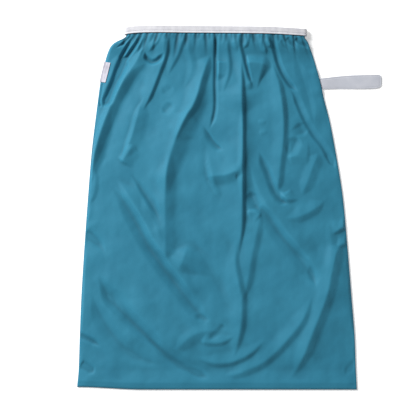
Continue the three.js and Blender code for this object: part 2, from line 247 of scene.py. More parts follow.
# Each row: name, kind, left, right, height, rise, fall, path and, where it isn't 1, power.
FOLDS = (
    Fold("swell edge, upper", RIDGE, 46, 26, 7, 0.45, 0.3, SWELL),
    Fold("swell crest, upper", RIDGE, 20, 11, 5.0, 0.12, 0.55, SWELL_TOP),
    Fold("swell shade, middle", RIDGE, 20, 34, 3.6, 0.3, 0.4,
         ((-54, 192), (-66, 169), (-76, 148), (-83, 128))),
    Fold("swell shade, upper", RIDGE, 12, 36, 2, 0.4, 0.4, SWELL, 1.7),
    Fold("swell face", RIDGE, 42, 26, 3.0, 0.35, 0.45,
         ((-90, 108), (-95, 90), (-99, 70), (-102, 30), (-102, -10), (-101, -45)), 0.8),
    Fold("swell edge", RIDGE, 20, 19, 4.2, 0.25, 0.12,
         ((-90, 108), (-95, 90), (-99, 70), (-102, 30), (-102, -10), (-102, -45), (-101, -75),
          (-101, -104))),
    Fold("swell foot", VALLEY, 6, 12, 3.8, 0.5, 0.4,
         ((-172, 70), (-154, 46), (-142, 28), (-130, 9), (-120, -8), (-111, -32))),
    Fold("diagonal rib", RIDGE, 14, 14, 2.4, 0.35, 0.3,
         ((-150, 28), (-139, 8), (-130, -10), (-121, -32), (-113, -52), (-107, -70))),
    Fold("swell tip", RIDGE, 24, 60, 7, 0.45, 0.4, ((-57, -66), (-63, -92), (-77, -126))),
    Fold("diagonal fold", RIDGE, 12, 20, 5, 0.15, 0.3,
         ((-197, 57), (-178, 32), (-158, 1), (-140, -31), (-122, -64), (-106, -87), (-90, -110),
          (-76, -128), (-61, -148), (-46, -168), (-32, -185))),
    Fold("diagonal valley", VALLEY, 15, 14, 5.5, 0.25, 0.12,
         ((-209, 45), (-190, 20), (-170, -11), (-152, -43), (-135, -76), (-119, -99), (-103, -122),
          (-88, -140), (-73, -160), (-58, -180), (-44, -197), (-29, -212), (-10, -219))),
    Fold("diagonal valley, end", VALLEY, 9, 9, 2.0, 0.4, 0.4, ((-46, -208), (-30, -217), (-12, -221))),
    Fold("shoulder fold", RIDGE, 11, 19, 6.0, 0.12, 0.3,
         ((-142, 318), (-155, 292), (-168, 272), (-183, 250), (-200, 219), (-213, 190), (-224, 162),
          (-232, 138), (-239, 110), (-246, 85), (-251, 62), (-256, 30))),
    Fold("shoulder roll", RIDGE, 14, 18, 3, 0.3, 0.35,
         ((-209, 200), (-219, 175), (-228, 148), (-237, 118), (-245, 90), (-252, 62), (-260, 30))),
    Fold("shoulder valley", VALLEY, 14, 24, 3, 0.2, 0.3,
         ((-132, 288), (-143, 275), (-158, 258), (-176, 227), (-186, 210), (-196, 188), (-205, 162),
          (-215, 140), (-228, 106), (-239, 81), (-247, 60))),
    Fold("shoulder rim", RIDGE, 10, 12, 2.5, 0.2, 0.2,
         ((-193, 302), (-201, 280), (-207, 258), (-214, 235), (-221, 212), (-227, 192))),
    Fold("shoulder hollow", VALLEY, 9, 12, 8.0, 0.2, 0.15,
         ((-172, 302), (-184, 288), (-196, 260), (-206, 236), (-215, 214), (-225, 197))),
    Fold("seam turn", VALLEY, 2.5, 2.5, 2.0, 0.1, 0.1,
         ((-225, 247), (-228, 224), (-231, 206), (-226, 198))),
    Fold("shoulder crease, outer", VALLEY, 4, 4, 5.5, 0.0, 0.15,
         ((-158, 343), (-165, 333), (-175, 317.6), (-186, 298), (-193, 287))),
    Fold("shoulder crease, inner", VALLEY, 4, 4, 5.5, 0.0, 0.15,
         ((-147, 343), (-152, 331), (-160, 317.6), (-175, 298), (-188, 284))),
    Fold("shoulder crease, soft", VALLEY, 4, 4, 2.6, 0.0, 0.4, ((-138, 342), (-147, 318), (-158, 300))),
    Fold("shoulder fan, upper", VALLEY, 3, 3, 3.0, 0.0, 0.4, ((-172, 344), (-186, 334), (-203, 325))),
    Fold("shoulder fan", VALLEY, 3, 3, 3.0, 0.0, 0.4, ((-164, 344), (-181, 327), (-200, 313))),
    Fold("left crease", RIDGE, 20, 4.5, 5.0, 0.0, 0.25,
         ((-95, 346), (-98, 331), (-101, 300), (-112.5, 269), (-123, 241), (-132.5, 218), (-140, 202),
          (-147, 188))),
    Fold("left crease, soft", RIDGE, 8, 20, 4.5, 0.35, 0.3,
         ((-141, 222), (-147, 206), (-153, 190), (-159, 168), (-164.5, 148), (-172.5, 126), (-188, 92))),
    Fold("cross dent", RIDGE, 10, 20, 4.2, 0.3, 0.15, ((-164, 126), (-175, 107), (-188, 88))),
    Fold("small pocket", VALLEY, 5, 4.5, 5.0, 0.25, 0.25,
         ((-141, 307), (-139, 297), (-135, 291), (-127, 286), (-118, 288), (-111, 294), (-103, 304))),
    Fold("small pocket, upper", RIDGE, 7, 4, 2.6, 0.0, 0.3,
         ((-112, 342), (-118, 326), (-127, 316), (-135, 304))),
    Fold("soft left", RIDGE, 14, 5, 2.8, 0.0, 0.4,
         ((-63, 342), (-70, 320), (-78, 300), (-88, 280), (-98, 256))),
    Fold("soft left, inner", RIDGE, 10, 8, 2, 0.2, 0.4,
         ((-58, 332), (-55, 305), (-50, 288), (-49, 272), (-56, 252), (-67, 232))),
    Fold("left dent", VALLEY, 9, 9, 2, 0.3, 0.3, ((-86, 207), (-97, 194), (-108, 184))),
    Fold("left dent, upper", VALLEY, 9, 9, 1.3, 0.3, 0.3, ((-86, 240), (-96, 231), (-108, 222))),
    Fold("centre crease", VALLEY, 3, 4, 3.4, 0.1, 0.14,
         ((-1, 346), (-2.5, 322), (-3.5, 290), (-4, 250), (-3.5, 215), (-4, 195), (-7, 178), (-12, 162),
          (-17, 152))),
    Fold("centre dimple", RIDGE, 3, 15, 4.4, 0.1, 0.4, ((2.5, 289), (2.5, 270), (1, 248)), 1.2),
    Fold("hook crease", VALLEY, 9, 3, 3.2, 0.45, 0.2,
         ((-28, 164), (-19, 149), (-11, 136), (-2, 124), (7, 117), (14, 114))),
    Fold("right mouth crease", RIDGE, 16, 5, 5.0, 0.0, 0.12,
         ((43, 344), (41, 330), (43, 315), (46, 303), (50, 285), (54.5, 268), (59, 253), (65, 242),
          (73, 236))),
    Fold("mouth vee", RIDGE, 6, 4, 2.6, 0.0, 0.3, ((61, 343), (57, 322), (50, 311))),
    Fold("pocket", RIDGE, 44, 15, 8.6, 0.12, 0.4, ((56, 282), (68, 284), (82, 283), (95, 280), (107, 275))),
    Fold("pocket, lower", RIDGE, 44, 32, 5.0, 0.4, 0.5, ((46, 248), (47, 214), (47.5, 178))),
    Fold("soft centre", RIDGE, 12, 5, 2.6, 0.0, 0.4,
         ((18, 343), (19, 320), (21, 300), (23, 280), (22, 265), (17, 245), (9, 220))),
    Fold("soft centre, short", RIDGE, 7, 4, 2.6, 0.0, 0.4, ((34, 343), (36, 322), (40, 303))),
    Fold("middle fold", RIDGE, 44, 5.5, 6.5, 0.14, 0.25,
         ((47, 296), (47, 262), (47.5, 232), (48.5, 200), (49, 160), (48.5, 130), (48.5, 60), (48.5, 0),
          (47.5, -40), (42.5, -80), (38.5, -114))),
    Fold("middle fold, side", RIDGE, 12, 22, 3.2, 0.3, 0.3, ((49, 205), (51, 130), (50, 60), (49, 0)), 1.6),
    Fold("middle fold, lower", RIDGE, 28, 9, 5, 0.4, 0.25,
         ((44, -52), (38, -78), (35, -100), (38, -130), (44, -160), (48, -175), (47.5, -200), (46.5, -225),
          (42.5, -250), (37, -275), (30, -298))),
    Fold("middle fork", RIDGE, 28, 10, 3.4, 0.2, 0.25,
         ((86, -6), (82, -22), (76.5, -50), (71.5, -75), (66, -100), (61.5, -130), (56, -158), (49, -184))),
    Fold("fork arc", RIDGE, 16, 5, 2.2, 0.2, 0.2, ((57, -9), (72, -8), (87, -16))),
    Fold("fork hollow", VALLEY, 12, 10, 3.4, 0.3, 0.3, ((66, 36), (70, 18), (76, 4), (84, -6))),
    Fold("belly lip", RIDGE, 18, 55, 7.2, 0.2, 0.2,
         ((-22, 59), (-8, 63), (14, 65), (27, 69), (36, 73), (50, 67)), 1.3),
    Fold("belly tail", RIDGE, 10, 9, 0.5, 0.25, 0.3, ((-37, 94), (-31, 66), (-21, 46), (-6, 23), (11, 7))),
    Fold("belly tail, inner", RIDGE, 6, 7, 1.4, 0.2, 0.3, ((-16, 62), (-8, 45), (7, 18))),
    Fold("right long crease", VALLEY, 5, 6, 4.6, 0.0, 0.15,
         ((107, 346), (107.5, 332), (110.5, 320), (115, 304), (121.5, 281), (130, 262), (141, 245),
          (150, 235), (160, 227))),
    Fold("right inner face", RIDGE, 32, 8, 2.2, 0.3, 0.5, INNER_TOP),
    Fold("right inner fold", RIDGE, 20, 9, 3.6, 0.3, 0.08, INNER),
    Fold("right wedge", VALLEY, 16, 12, 3.6, 0.3, 0.35, ((159, 142), (154, 129), (146, 112), (137, 99))),
    Fold("right wedge, upper", VALLEY, 18, 12, 2.4, 0.3, 0.35, ((158, 168), (166, 153), (173, 140))),
    Fold("right outer crease", VALLEY, 5, 9, 3.4, 0.2, 0.1,
         ((140, 235), (151, 222), (159.5, 202.5), (169, 180), (181, 157), (194, 137), (207, 121), (220, 98),
          (233, 76))),
    Fold("right soft line", VALLEY, 10, 9, 1.5, 0.25, 0.3,
         ((152, 302), (160, 278), (168, 255), (175, 230), (182, 205), (187, 180), (191, 160))),
    Fold("right shoulder line", VALLEY, 4, 4, 1.8, 0.2, 0.5, ((125, 334), (133, 318), (144, 305))),
    Fold("right shoulder dent", VALLEY, 6, 6, 4.5, 0.1, 0.6, ((137, 338), (147, 326), (157, 311))),
    Fold("right shoulder dent, outer", VALLEY, 6, 6, 4.5, 0.1, 0.6,
         ((153, 338), (164, 328), (174, 321), (186, 311))),
    Fold("right mouth line", RIDGE, 7, 4, 3.2, 0.0, 0.3, ((86, 343), (90, 320), (97, 298))),
    Fold("right mouth line, outer", RIDGE, 6, 4, 3.2, 0.0, 0.3, ((95, 343), (99, 328), (107, 312))),
    Fold("right hook", VALLEY, 8, 8, 4.0, 0.25, 0.12,
         ((82, 112), (91, 88), (101, 65), (110, 38), (117, 25), (127, 14), (141, 9))),
    Fold("right diagonal fold", RIDGE, 12, 40, 5, 0.4, 0.3,
         ((64, 92), (78, 45), (96, 8), (112, -14), (126, -34), (142, -53), (162, -76), (182, -100),
          (204, -118))),
    Fold("right diagonal valley", VALLEY, 16, 13, 4.4, 0.25, 0.2,
         ((64, 8), (80, 0), (97, -12), (112.6, -35), (128, -59), (148, -82), (168, -108), (184, -132),
          (196, -158))),
    Fold("right diagonal valley, end", VALLEY, 9, 11, 2.4, 0.4, 0.4,
         ((180, -108), (188, -130), (193, -156))),
    Fold("right facet", RIDGE, 7, 18, 4.4, 0.3, 0.6,
         ((124, 33), (129, 25), (137, 19), (150, 17), (163, 19))),
    Fold("right bowl", RIDGE, 20, 11, 3.4, 0.3, 0.4,
         ((212, 16), (198, 4), (183, -6), (166, -14), (149, -19), (132, -21))),
    Fold("right ray", RIDGE, 14, 14, 3.4, 0.2, 0.3, ((199, 110), (188, 82), (177, 52), (165, 24))),
    Fold("right shelf", RIDGE, 14, 30, 2.2, 0.2, 0.2, ((136, 101), (160, 101), (184, 99))),
    Fold("right cross line", RIDGE, 5, 7, 0.9, 0.3, 0.4, ((78, 170), (88, 168), (98, 172))),
    Fold("right cross line, lower", RIDGE, 5, 7, 0.8, 0.3, 0.4, ((80, 147), (90, 148), (100, 152))),
    Fold("right edge wedge", RIDGE, 16, 6, 4, 0.0, 0.35, ((266, -27), (250, -36), (240, -41), (225, -52))),
    Fold("right edge wedge, lower", RIDGE, 14, 6, 2.8, 0.0, 0.4, ((268, -64), (250, -69), (232, -75))),
    Fold("right rim rib", RIDGE, 10, 10, 1.2, 0.2, 0.3,
         ((240, -16), (224, -40), (224, -70), (222, -100), (215, -136))),
    Fold("right side fold", RIDGE, 20, 15, 4.2, 0.08, 0.25, RIGHT_SIDE),
    Fold("right side plane", RIDGE, 80, 66, 5.4, 0.2, 0.2, RIGHT_SIDE, 1.4),
    Fold("outer bowl", RIDGE, 20, 10, 4.0, 0.25, 0.2,
         ((186, -170), (177, -196), (167, -218), (154, -237), (138, -256), (120, -276), (100, -295),
          (78, -309), (57, -318), (36, -326), (10, -331))),
    Fold("inner bowl", RIDGE, 20, 7, 4.0, 0.4, 0.3,
         ((97, -256), (83, -269), (67, -283), (48, -294), (29, -301), (9, -304), (-13, -302), (-41, -293))),
    Fold("lower left fold", VALLEY, 14, 24, 6.6, 0.3, 0.35,
         ((-233, -130), (-220, -160), (-212, -175), (-195, -195), (-178, -212), (-158, -232), (-134, -254),
          (-112, -276), (-94, -291))),
    Fold("lower left roll", RIDGE, 16, 40, 4.2, 0.25, 0.25,
         ((-190, -178), (-165, -200), (-138, -226), (-110, -253), (-84, -275), (-56, -294), (-28, -308))),
    Fold("lower left fold, end", VALLEY, 9, 9, 2.8, 0.35, 0.14,
         ((-145, -248), (-121, -270), (-97, -292), (-72, -309), (-43, -324), (-14, -335))),
    Fold("lower left second", VALLEY, 18, 18, 4.6, 0.25, 0.4,
         ((-244, -170), (-234, -200), (-218, -230), (-200, -255), (-181, -276), (-155, -293), (-124, -304),
          (-100, -308))),
    Fold("left edge flap", RIDGE, 8, 6, 1.6, 0.25, 0.25, ((-240, 76), (-239, 50), (-242, 30), (-250, 8))),
    Fold("left edge roll, upper", RIDGE, 5, 14, 1.5, 0.25, 0.25,
         ((-250, 80), (-255, 40), (-258, 0), (-261, -38))),
    Fold("left edge roll", RIDGE, 5, 20, 2.5, 0.25, 0.2,
         ((-257, -80), (-262, -120), (-264, -180), (-266, -250))),
    Fold("left edge bump", RIDGE, 12, 8, 1.0, 0.0, 0.4, ((-268, -50), (-250, -38), (-230, -23))),
    Fold("left edge dent", VALLEY, 10, 10, 3.0, 0.0, 0.45,
         ((-266, -48), (-248, -56), (-232, -71), (-218, -93))),
    Fold("left edge pinch", VALLEY, 6, 6, 3.4, 0.0, 0.4,
         ((-278, -245), (-256, -256), (-240, -264), (-224, -274))),
    Fold("left corner pinch", VALLEY, 9, 9, 3.4, 0.1, 0.3, ((-268, -306), (-254, -314), (-240, -326))),
    Fold("right corner pinch", VALLEY, 7, 9, 1.2, 0.0, 0.3,
         ((288, -293), (268, -306), (257, -318), (252, -331))),
    Fold("bottom lip", RIDGE, 14, 16, 3.0, 0.3, 0.3,
         ((11, -243), (-14, -241), (-36, -244), (-52, -252), (-66, -264), (-84, -282))),
    Fold("bottom hook", VALLEY, 6, 8, 1.6, 0.1, 0.25, ((13, -227), (4, -240), (-8, -250), (-17, -260))),
    Fold("bottom arc", RIDGE, 5, 14, 2.8, 0.15, 0.3, ((-34, -260), (-14, -263), (10, -262), (34, -250))),
    Fold("centre hollow", VALLEY, 18, 14, 1.4, 0.3, 0.2,
         ((-56, -34), (-47, -58), (-32, -90), (-14, -122), (4, -157), (18, -190), (50, -215))),
)


@dataclass(frozen=True)
class GatherSet:
    """The ranges that one set of gathers draws its sizes from."""

    pitches: Range
    lengths: Range
    depths: Range


@dataclass(frozen=True)
class Gathers:
    """The puckers below the elastic, each with its own length and lean.

    Fan is how much one leans for each millimetre from the middle, and stray is added by chance.
    """

    sets: tuple[GatherSet, ...] = (GatherSet((6.0, 10.0), (10.0, 26.0), (3.0, 5.0)),
                                   GatherSet((14.0, 24.0), (30.0, 64.0), (2.8, 4.6)))
    left: float = -178.0
    right: float = 172.0
    top_y: float = 346.0
    widths: Range = (1.3, 2.0)
    fan: float = 0.0022
    fan_shares: Range = (0.5, 1.2)
    stray: float = 0.12
    widening: float = 0.016
    soft_side: float = 2.2
    fade_power: float = 1.2
    seed: int = 7

    def heights(self, x: Array, y: Array) -> Array:
        """Measure how far the gathers lower the cloth.

        Args:
            x: Places across the bag.
            y: Places along the bag.

        Returns:
            The change of height at each place.
        """
        draw = np.random.default_rng(self.seed)
        drop = np.clip(self.top_y - y, 0.0, None)
        out = np.zeros_like(x)
        for kind in self.sets:
            start = self.left
            while start < self.right:
                width = draw.uniform(*self.widths)
                length = draw.uniform(*kind.lengths)
                depth = draw.uniform(*kind.depths)
                lean = self.fan * start * draw.uniform(*self.fan_shares)
                lean += draw.uniform(-self.stray, self.stray)
                q = (x - start - lean * drop) / (width * (1 + self.widening * drop))
                q = np.where(q > 0, q / self.soft_side, q)
                out -= depth * np.clip(1 - drop / length, 0.0, 1.0)**self.fade_power * np.exp(-q * q)
                start += draw.uniform(*kind.pitches)
        return out


@dataclass(frozen=True)
class WaveSet:
    """A set of faint waves: how many, the range of their lengths and the height at one length."""

    count: int
    lengths: Range
    height: float
    at_length: float


@dataclass(frozen=True)
class Wrinkles:
    """The faint unevenness of handled cloth, in long waves and in short ripples."""

    sets: tuple[WaveSet, ...] = (WaveSet(26, (26.0, 95.0), 0.16, 60.0), WaveSet(24, (9.0, 26.0), 0.0009, 1.0))
    seed: int = 8

    def heights(self, x: Array, y: Array) -> Array:
        """Measure how far the wrinkles lift or lower the cloth.

        Args:
            x: Places across the bag.
            y: Places along the bag.

        Returns:
            The change of height at each place.
        """
        draw = np.random.default_rng(self.seed)
        out = np.zeros_like(x)
        for kind in self.sets:
            for _ in range(kind.count):
                length = draw.uniform(*kind.lengths)
                turn = draw.uniform(0.0, math.pi)
                phase = draw.uniform(0.0, 2 * math.pi)
                place = (x * math.cos(turn) + y * math.sin(turn)) / length
                out += kind.height * (length / kind.at_length) * np.sin(2 * math.pi * place + phase)
        return out


@dataclass(frozen=True)
class Outline:
    """The bag's two side edges, a row (y, left, right) for each height from hem to mouth."""

    rows: tuple[tuple[float, float, float], ...] = (
        (-356, -275, 275), (-318, -272, 273), (-259, -270, 271), (-181, -267, 265), (-82, -261, 257),
        (16, -254, 248), (114, -246, 232.5), (173, -239, 221), (212, -234, 211), (251, -228.5, 202),
        (291, -219, 191), (310, -213, 185), (322, -207, 181.5), (330, -198, 179), (336, -186, 175.5),
        (340, -178.5, 172.5), (352, -177.5, 171.5))
    droop_start: float = 300.0
    droop_full: float = 338.0
    corner_lift: float = 5.0
    corner_run: float = 130.0
    corner_height: float = 38.0

    def edges(self, y: Array) -> tuple[Array, Array]:
        """Read both side edges.

        Args:
            y: Places along the bag.

        Returns:
            The left and the right edge at each place.
        """
        table = np.array(self.rows, float)
        left = ease_through(table[:, 0], table[:, 1], y)
        return left, ease_through(table[:, 0], table[:, 2], y)

    def row_y(self, x: Array, y: Array) -> Array:
        """Bend a level row along the elastic at the mouth and up at the hem's left corner.

        Args:
            x: Places across the bag.
            y: The level row's height.

        Returns:
            Where the row's points lie along the bag.
        """
        sag = ElasticBand.middle_y(x) - ElasticBand.MIDDLE_Y
        droop = sag * smooth(self.droop_start, self.droop_full, y)
        corner = smooth(self.rows[0][1] + self.corner_run, self.rows[0][1], x)
        return y + droop + self.corner_lift * corner * smooth(HEM_Y + self.corner_height, HEM_Y, y)


def new_piece(name: str, mesh: bpy.types.Mesh) -> bpy.types.Object:
    """Put a mesh into the scene as a smooth piece.

    Args:
        name: The piece's name.
        mesh: Its mesh, in metres.

    Returns:
        The new object, at the origin.
    """
    mesh.name = name
    mesh.polygons.foreach_set("use_smooth", [True] * len(mesh.polygons))
    piece = bpy.data.objects.new(name, mesh)
    bpy.context.scene.collection.objects.link(piece)
    return piece


def settle(piece: bpy.types.Object, replaces: str = "") -> None:
    """Let a piece ride on the bag and take its place in the frame.

    Args:
        piece: The finished piece.
        replaces: The CAD node that it stands for, if any.
    """
    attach(piece, "root")
    if replaces:
        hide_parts(replaces)
    log.info("%s: %d faces", piece.name, len(piece.data.polygons))


def grid_faces(rows: int, columns: int, first: int, step: int, flip: bool) -> list[tuple[int, ...]]:
    """List the faces of a grid of vertices.

    Args:
        rows: How many rows the grid has.
        columns: How many columns it has.
        first: The number of its first vertex.
        step: How many numbers lie between rows.
        flip: Whether the faces point down.

    Returns:
        The faces.
    """
    r, c = np.meshgrid(np.arange(rows - 1), np.arange(columns - 1), indexing="ij")
    a = (first + r * step + c).ravel()
    quads = np.stack([a, a + 1, a + step + 1, a + step], axis=1)
    return [tuple(q) for q in (quads[:, ::-1] if flip else quads).tolist()]


def cloth_wall(name: str, top: Array, thickness: float, cloth: bpy.types.Material) -> bpy.types.Object:
    """Make a closed sheet under a fine top surface, with a coarser underside.

    Args:
        name: The piece's name.
        top: The top surface's points in millimetres, in odd numbers of rows and columns.
        thickness: The sheet's thickness in millimetres.
        cloth: Its material.

    Returns:
        The piece.
    """
    rows, columns = top.shape[:2]
    padded = np.pad(top[..., 2], 1, mode="edge")
    lowest = np.min([padded[i:i + rows, j:j + columns] for i in range(3) for j in range(3)], axis=0)
    under = top.copy()
    under[..., 2] = lowest - thickness
    under = under[::2, ::2]
    low_rows, low_columns = under.shape[:2]
    first = rows * columns
    faces = grid_faces(rows, columns, 0, columns, False)
    faces += grid_faces(low_rows, low_columns, first, low_columns, True)
    upper = np.arange(first).reshape(rows, columns)
    lower = first + np.arange(low_rows * low_columns).reshape(low_rows, low_columns)
    rims = ((upper[0], lower[0], False), (upper[-1], lower[-1], True),
            (upper[:, 0], lower[:, 0], True), (upper[:, -1], lower[:, -1], False))
    for fine, coarse, flip in rims:
        for k in range(len(coarse) - 1):
            face = (fine[2 * k + 2], fine[2 * k + 1], fine[2 * k], coarse[k], coarse[k + 1])
            faces.append(tuple(int(v) for v in (face[::-1] if flip else face)))
    mesh = bpy.data.meshes.new(name)
    points = np.vstack([top.reshape(-1, 3), under.reshape(-1, 3)]) * MM
    mesh.from_pydata(points.tolist(), [], faces)
    mesh.update()
    mesh.materials.append(cloth)
    return new_piece(name, mesh)


def line_mesh(name: str, lines: list[Array], closed: bool = False) -> bpy.types.Mesh:
    """Make a mesh of plain edges along lines.

    Args:
        name: The mesh's name.
        lines: The points of each line, in millimetres.
        closed: Whether each line ends where it starts.

    Returns:
        The mesh, in metres.
    """
    points: list[Any] = []
    edges: list[tuple[int, int]] = []
    for line in lines:
        first, count = len(points), len(line)
        points += (np.asarray(line, float) * MM).tolist()
        edges += [(first + i, first + i + 1) for i in range(count - 1)]
        if closed:
            edges.append((first + count - 1, first))
    mesh = bpy.data.meshes.new(name)
    mesh.from_pydata(points, edges, [])
    return mesh


class NodeTree:
    """A tree of nodes under construction."""

    def __init__(self, tree: bpy.types.NodeTree) -> None:
        """Take up the tree that nodes are added to."""
        self.tree = tree

    def feed(self, socket: Socket, value: Any) -> None:
        """Give an input its value, or a link where the value is a socket.

        Args:
            socket: The input.
            value: The value or the socket.
        """
        if isinstance(value, Socket):
            self.tree.links.new(value, socket)
        else:
            socket.default_value = value

    def add(self, kind: str, inputs: dict[Any, Any], **settings: Any) -> bpy.types.Node:
        """Add a node with its inputs and settings.

        Args:
            kind: The node's type.
            inputs: A socket to link or a value to set, by input name or number.
            **settings: The node's own properties.

        Returns:
            The node.
        """
        node = self.tree.nodes.new(kind)
        for key, value in settings.items():
            setattr(node, key, value)
        for key, value in inputs.items():
            self.feed(node.inputs[key], value)
        return node

    def math(self, operation: str, *values: Any) -> Socket:
        """Add a math node and return its socket."""
        return self.add("ShaderNodeMath", dict(enumerate(values)), operation=operation).outputs[0]


class NodeGroup(NodeTree):
    """A geometry node tree with named inputs."""

    def __init__(self, name: str) -> None:
        """Start a tree with a geometry input and output.

        Args:
            name: The tree's name.
        """
        super().__init__(bpy.data.node_groups.new(name, "GeometryNodeTree"))
        self.tree.interface.new_socket("Geometry", in_out="INPUT", socket_type="NodeSocketGeometry")
        self.tree.interface.new_socket("Geometry", in_out="OUTPUT", socket_type="NodeSocketGeometry")
        self.entry = self.tree.nodes.new("NodeGroupInput")
        self.exit = self.tree.nodes.new("NodeGroupOutput")

    def wants(self, name: str, kind: str = "NodeSocketFloat") -> Socket:
        """Add a named input and return the socket that gives it inside the tree."""
        self.tree.interface.new_socket(name, in_out="INPUT", socket_type=kind)
        return self.entry.outputs[name]

    def close(self, geometry: Socket, finish: Socket) -> None:
        """End the tree with realized instances and a material.

        Args:
            geometry: What the tree has made.
            finish: The input that holds the material.
        """
        real = self.add("GeometryNodeRealizeInstances", {"Geometry": geometry})
        done = self.add("GeometryNodeSetMaterial", {"Geometry": real.outputs[0], "Material": finish})
        self.tree.links.new(done.outputs[0], self.exit.inputs[0])

    def make(self, name: str, source: bpy.types.Mesh, values: dict[str, Any]) -> bpy.types.Object:
        """Run the tree on a mesh and keep the result as a plain piece.

        Args:
            name: The piece's name.
            source: The mesh that the tree reads.
            values: A value for each named input.

        Returns:
            The piece.
        """
        carrier = bpy.data.objects.new(name + "_source", source)
        bpy.context.scene.collection.objects.link(carrier)
        modifier = carrier.modifiers.new("nodes", "NODES")
        modifier.node_group = self.tree
        for item in self.tree.interface.items_tree:
            if item.in_out == "INPUT" and item.name in values:
                modifier[item.identifier] = values[item.name]
        view = bpy.context.evaluated_depsgraph_get()
        mesh = bpy.data.meshes.new_from_object(carrier.evaluated_get(view))
        carrier.modifiers.remove(modifier)
        bpy.data.objects.remove(carrier)
        return new_piece(name, mesh)


class Counted(Enum):
    """The axis that parallel threads are counted along."""

    ACROSS = "X"
    ALONG = "Y"


@dataclass(frozen=True)
class Cloud:
    """Cloudy noise: the size of its patches, its finer layers and how it is squeezed along each axis."""

    size: float
    detail: float = 3.0
    stretch: tuple[float, float, float] = (1.0, 1.0, 1.0)


@dataclass(frozen=True)
class Relief:
    """Fine relief: how deep it is and how much of it shows."""

    depth: float
    strength: float


class Shader(NodeTree):
    """A node material."""

    WAVE_SCALE = 20.0

    def __init__(self, name: str) -> None:
        """Start a material with its surface shader.

        Args:
            name: The material's name.
        """
        self.material = bpy.data.materials.new(name)
        self.material.use_nodes = True
        super().__init__(self.material.node_tree)
        self.surface = self.tree.nodes["Principled BSDF"]
        self.place = self.tree.nodes.new("ShaderNodeTexCoord").outputs["Object"]

    def set(self, **values: Any) -> None:
        """Set or link inputs of the surface shader, with underscores for spaces."""
        for key, value in values.items():
            self.feed(self.surface.inputs[key.replace("_", " ")], value)

    def noise(self, cloud: Cloud) -> Socket:
        """Add cloudy noise.

        Args:
            cloud: Its sizes.

        Returns:
            The socket of its value.
        """
        turned = self.add("ShaderNodeMapping", {"Vector": self.place, "Scale": cloud.stretch})
        inputs = {"Vector": turned.outputs[0], "Scale": 1.0 / (cloud.size * MM), "Detail": cloud.detail}
        return self.add("ShaderNodeTexNoise", inputs).outputs["Fac"]

    def threads(self, pitch: float, counted: Counted, waver: float) -> Socket:
        """Add a run of parallel threads.

        Args:
            pitch: The distance between threads, in millimetres.
            counted: The axis that they are counted along.
            waver: How unevenly they run.

        Returns:
            The socket of their height.
        """
        inputs = {"Vector": self.place, "Scale": 2 * math.pi / (self.WAVE_SCALE * pitch * MM),
                  "Distortion": waver, "Detail": 1.0}
        return self.add("ShaderNodeTexWave", inputs, bands_direction=counted.value).outputs["Fac"]

    def weave(self, across: float, along: float, waver: float) -> Socket:
        """Cross two runs of threads.

        Args:
            across: The pitch of those counted across, in millimetres.
            along: The pitch of those counted along, in millimetres.
            waver: How unevenly they run.

        Returns:
            The socket of the weave's height.
        """
        first = self.threads(across, Counted.ACROSS, waver)
        return self.math("MULTIPLY", first, self.threads(along, Counted.ALONG, waver))

    def ramp(self, value: Socket, *stops: tuple[float, Colour]) -> Socket:
        """Turn a value into a colour.

        Args:
            value: The socket to read.
            *stops: A place and a colour for each stop.

        Returns:
            The socket of the colour.
        """
        node = self.add("ShaderNodeValToRGB", {"Fac": value})
        ramp = node.color_ramp
        while len(ramp.elements) < len(stops):
            ramp.elements.new(0.5)
        for element, (place, colour) in zip(ramp.elements, stops):
            element.position = place
            element.color = (*colour, 1.0)
        return node.outputs["Color"]

    def span(self, value: Socket, ends: Range) -> Socket:
        """Stretch a value from 0 to 1 over a range and return its socket."""
        inputs = {"Value": value, "To Min": ends[0], "To Max": ends[1]}
        return self.add("ShaderNodeMapRange", inputs).outputs[0]

    def times(self, colour: Socket, factor: Socket) -> Socket:
        """Multiply a colour by another one or by a value and return its socket."""
        return self.add("ShaderNodeVectorMath", {0: colour, 1: factor}, operation="MULTIPLY").outputs[0]

    def tint(self, colour: Socket, shade: Socket, ends: Range) -> Socket:
        """Darken and lighten a colour by a value from 0 to 1, with the factors at its two ends."""
        return self.times(colour, self.span(shade, ends))

    def bump(self, height: Socket, relief: Relief, under: Socket | None = None) -> Socket:
        """Add fine relief.

        Args:
            height: The socket of its height, from 0 to 1.
            relief: Its depth and strength.
            under: Relief that it lies on, if any.

        Returns:
            The socket of the normal.
        """
        inputs = {"Height": height, "Distance": relief.depth * MM, "Strength": relief.strength}
        if under is not None:
            inputs["Normal"] = under
        return self.add("ShaderNodeBump", inputs).outputs[0]


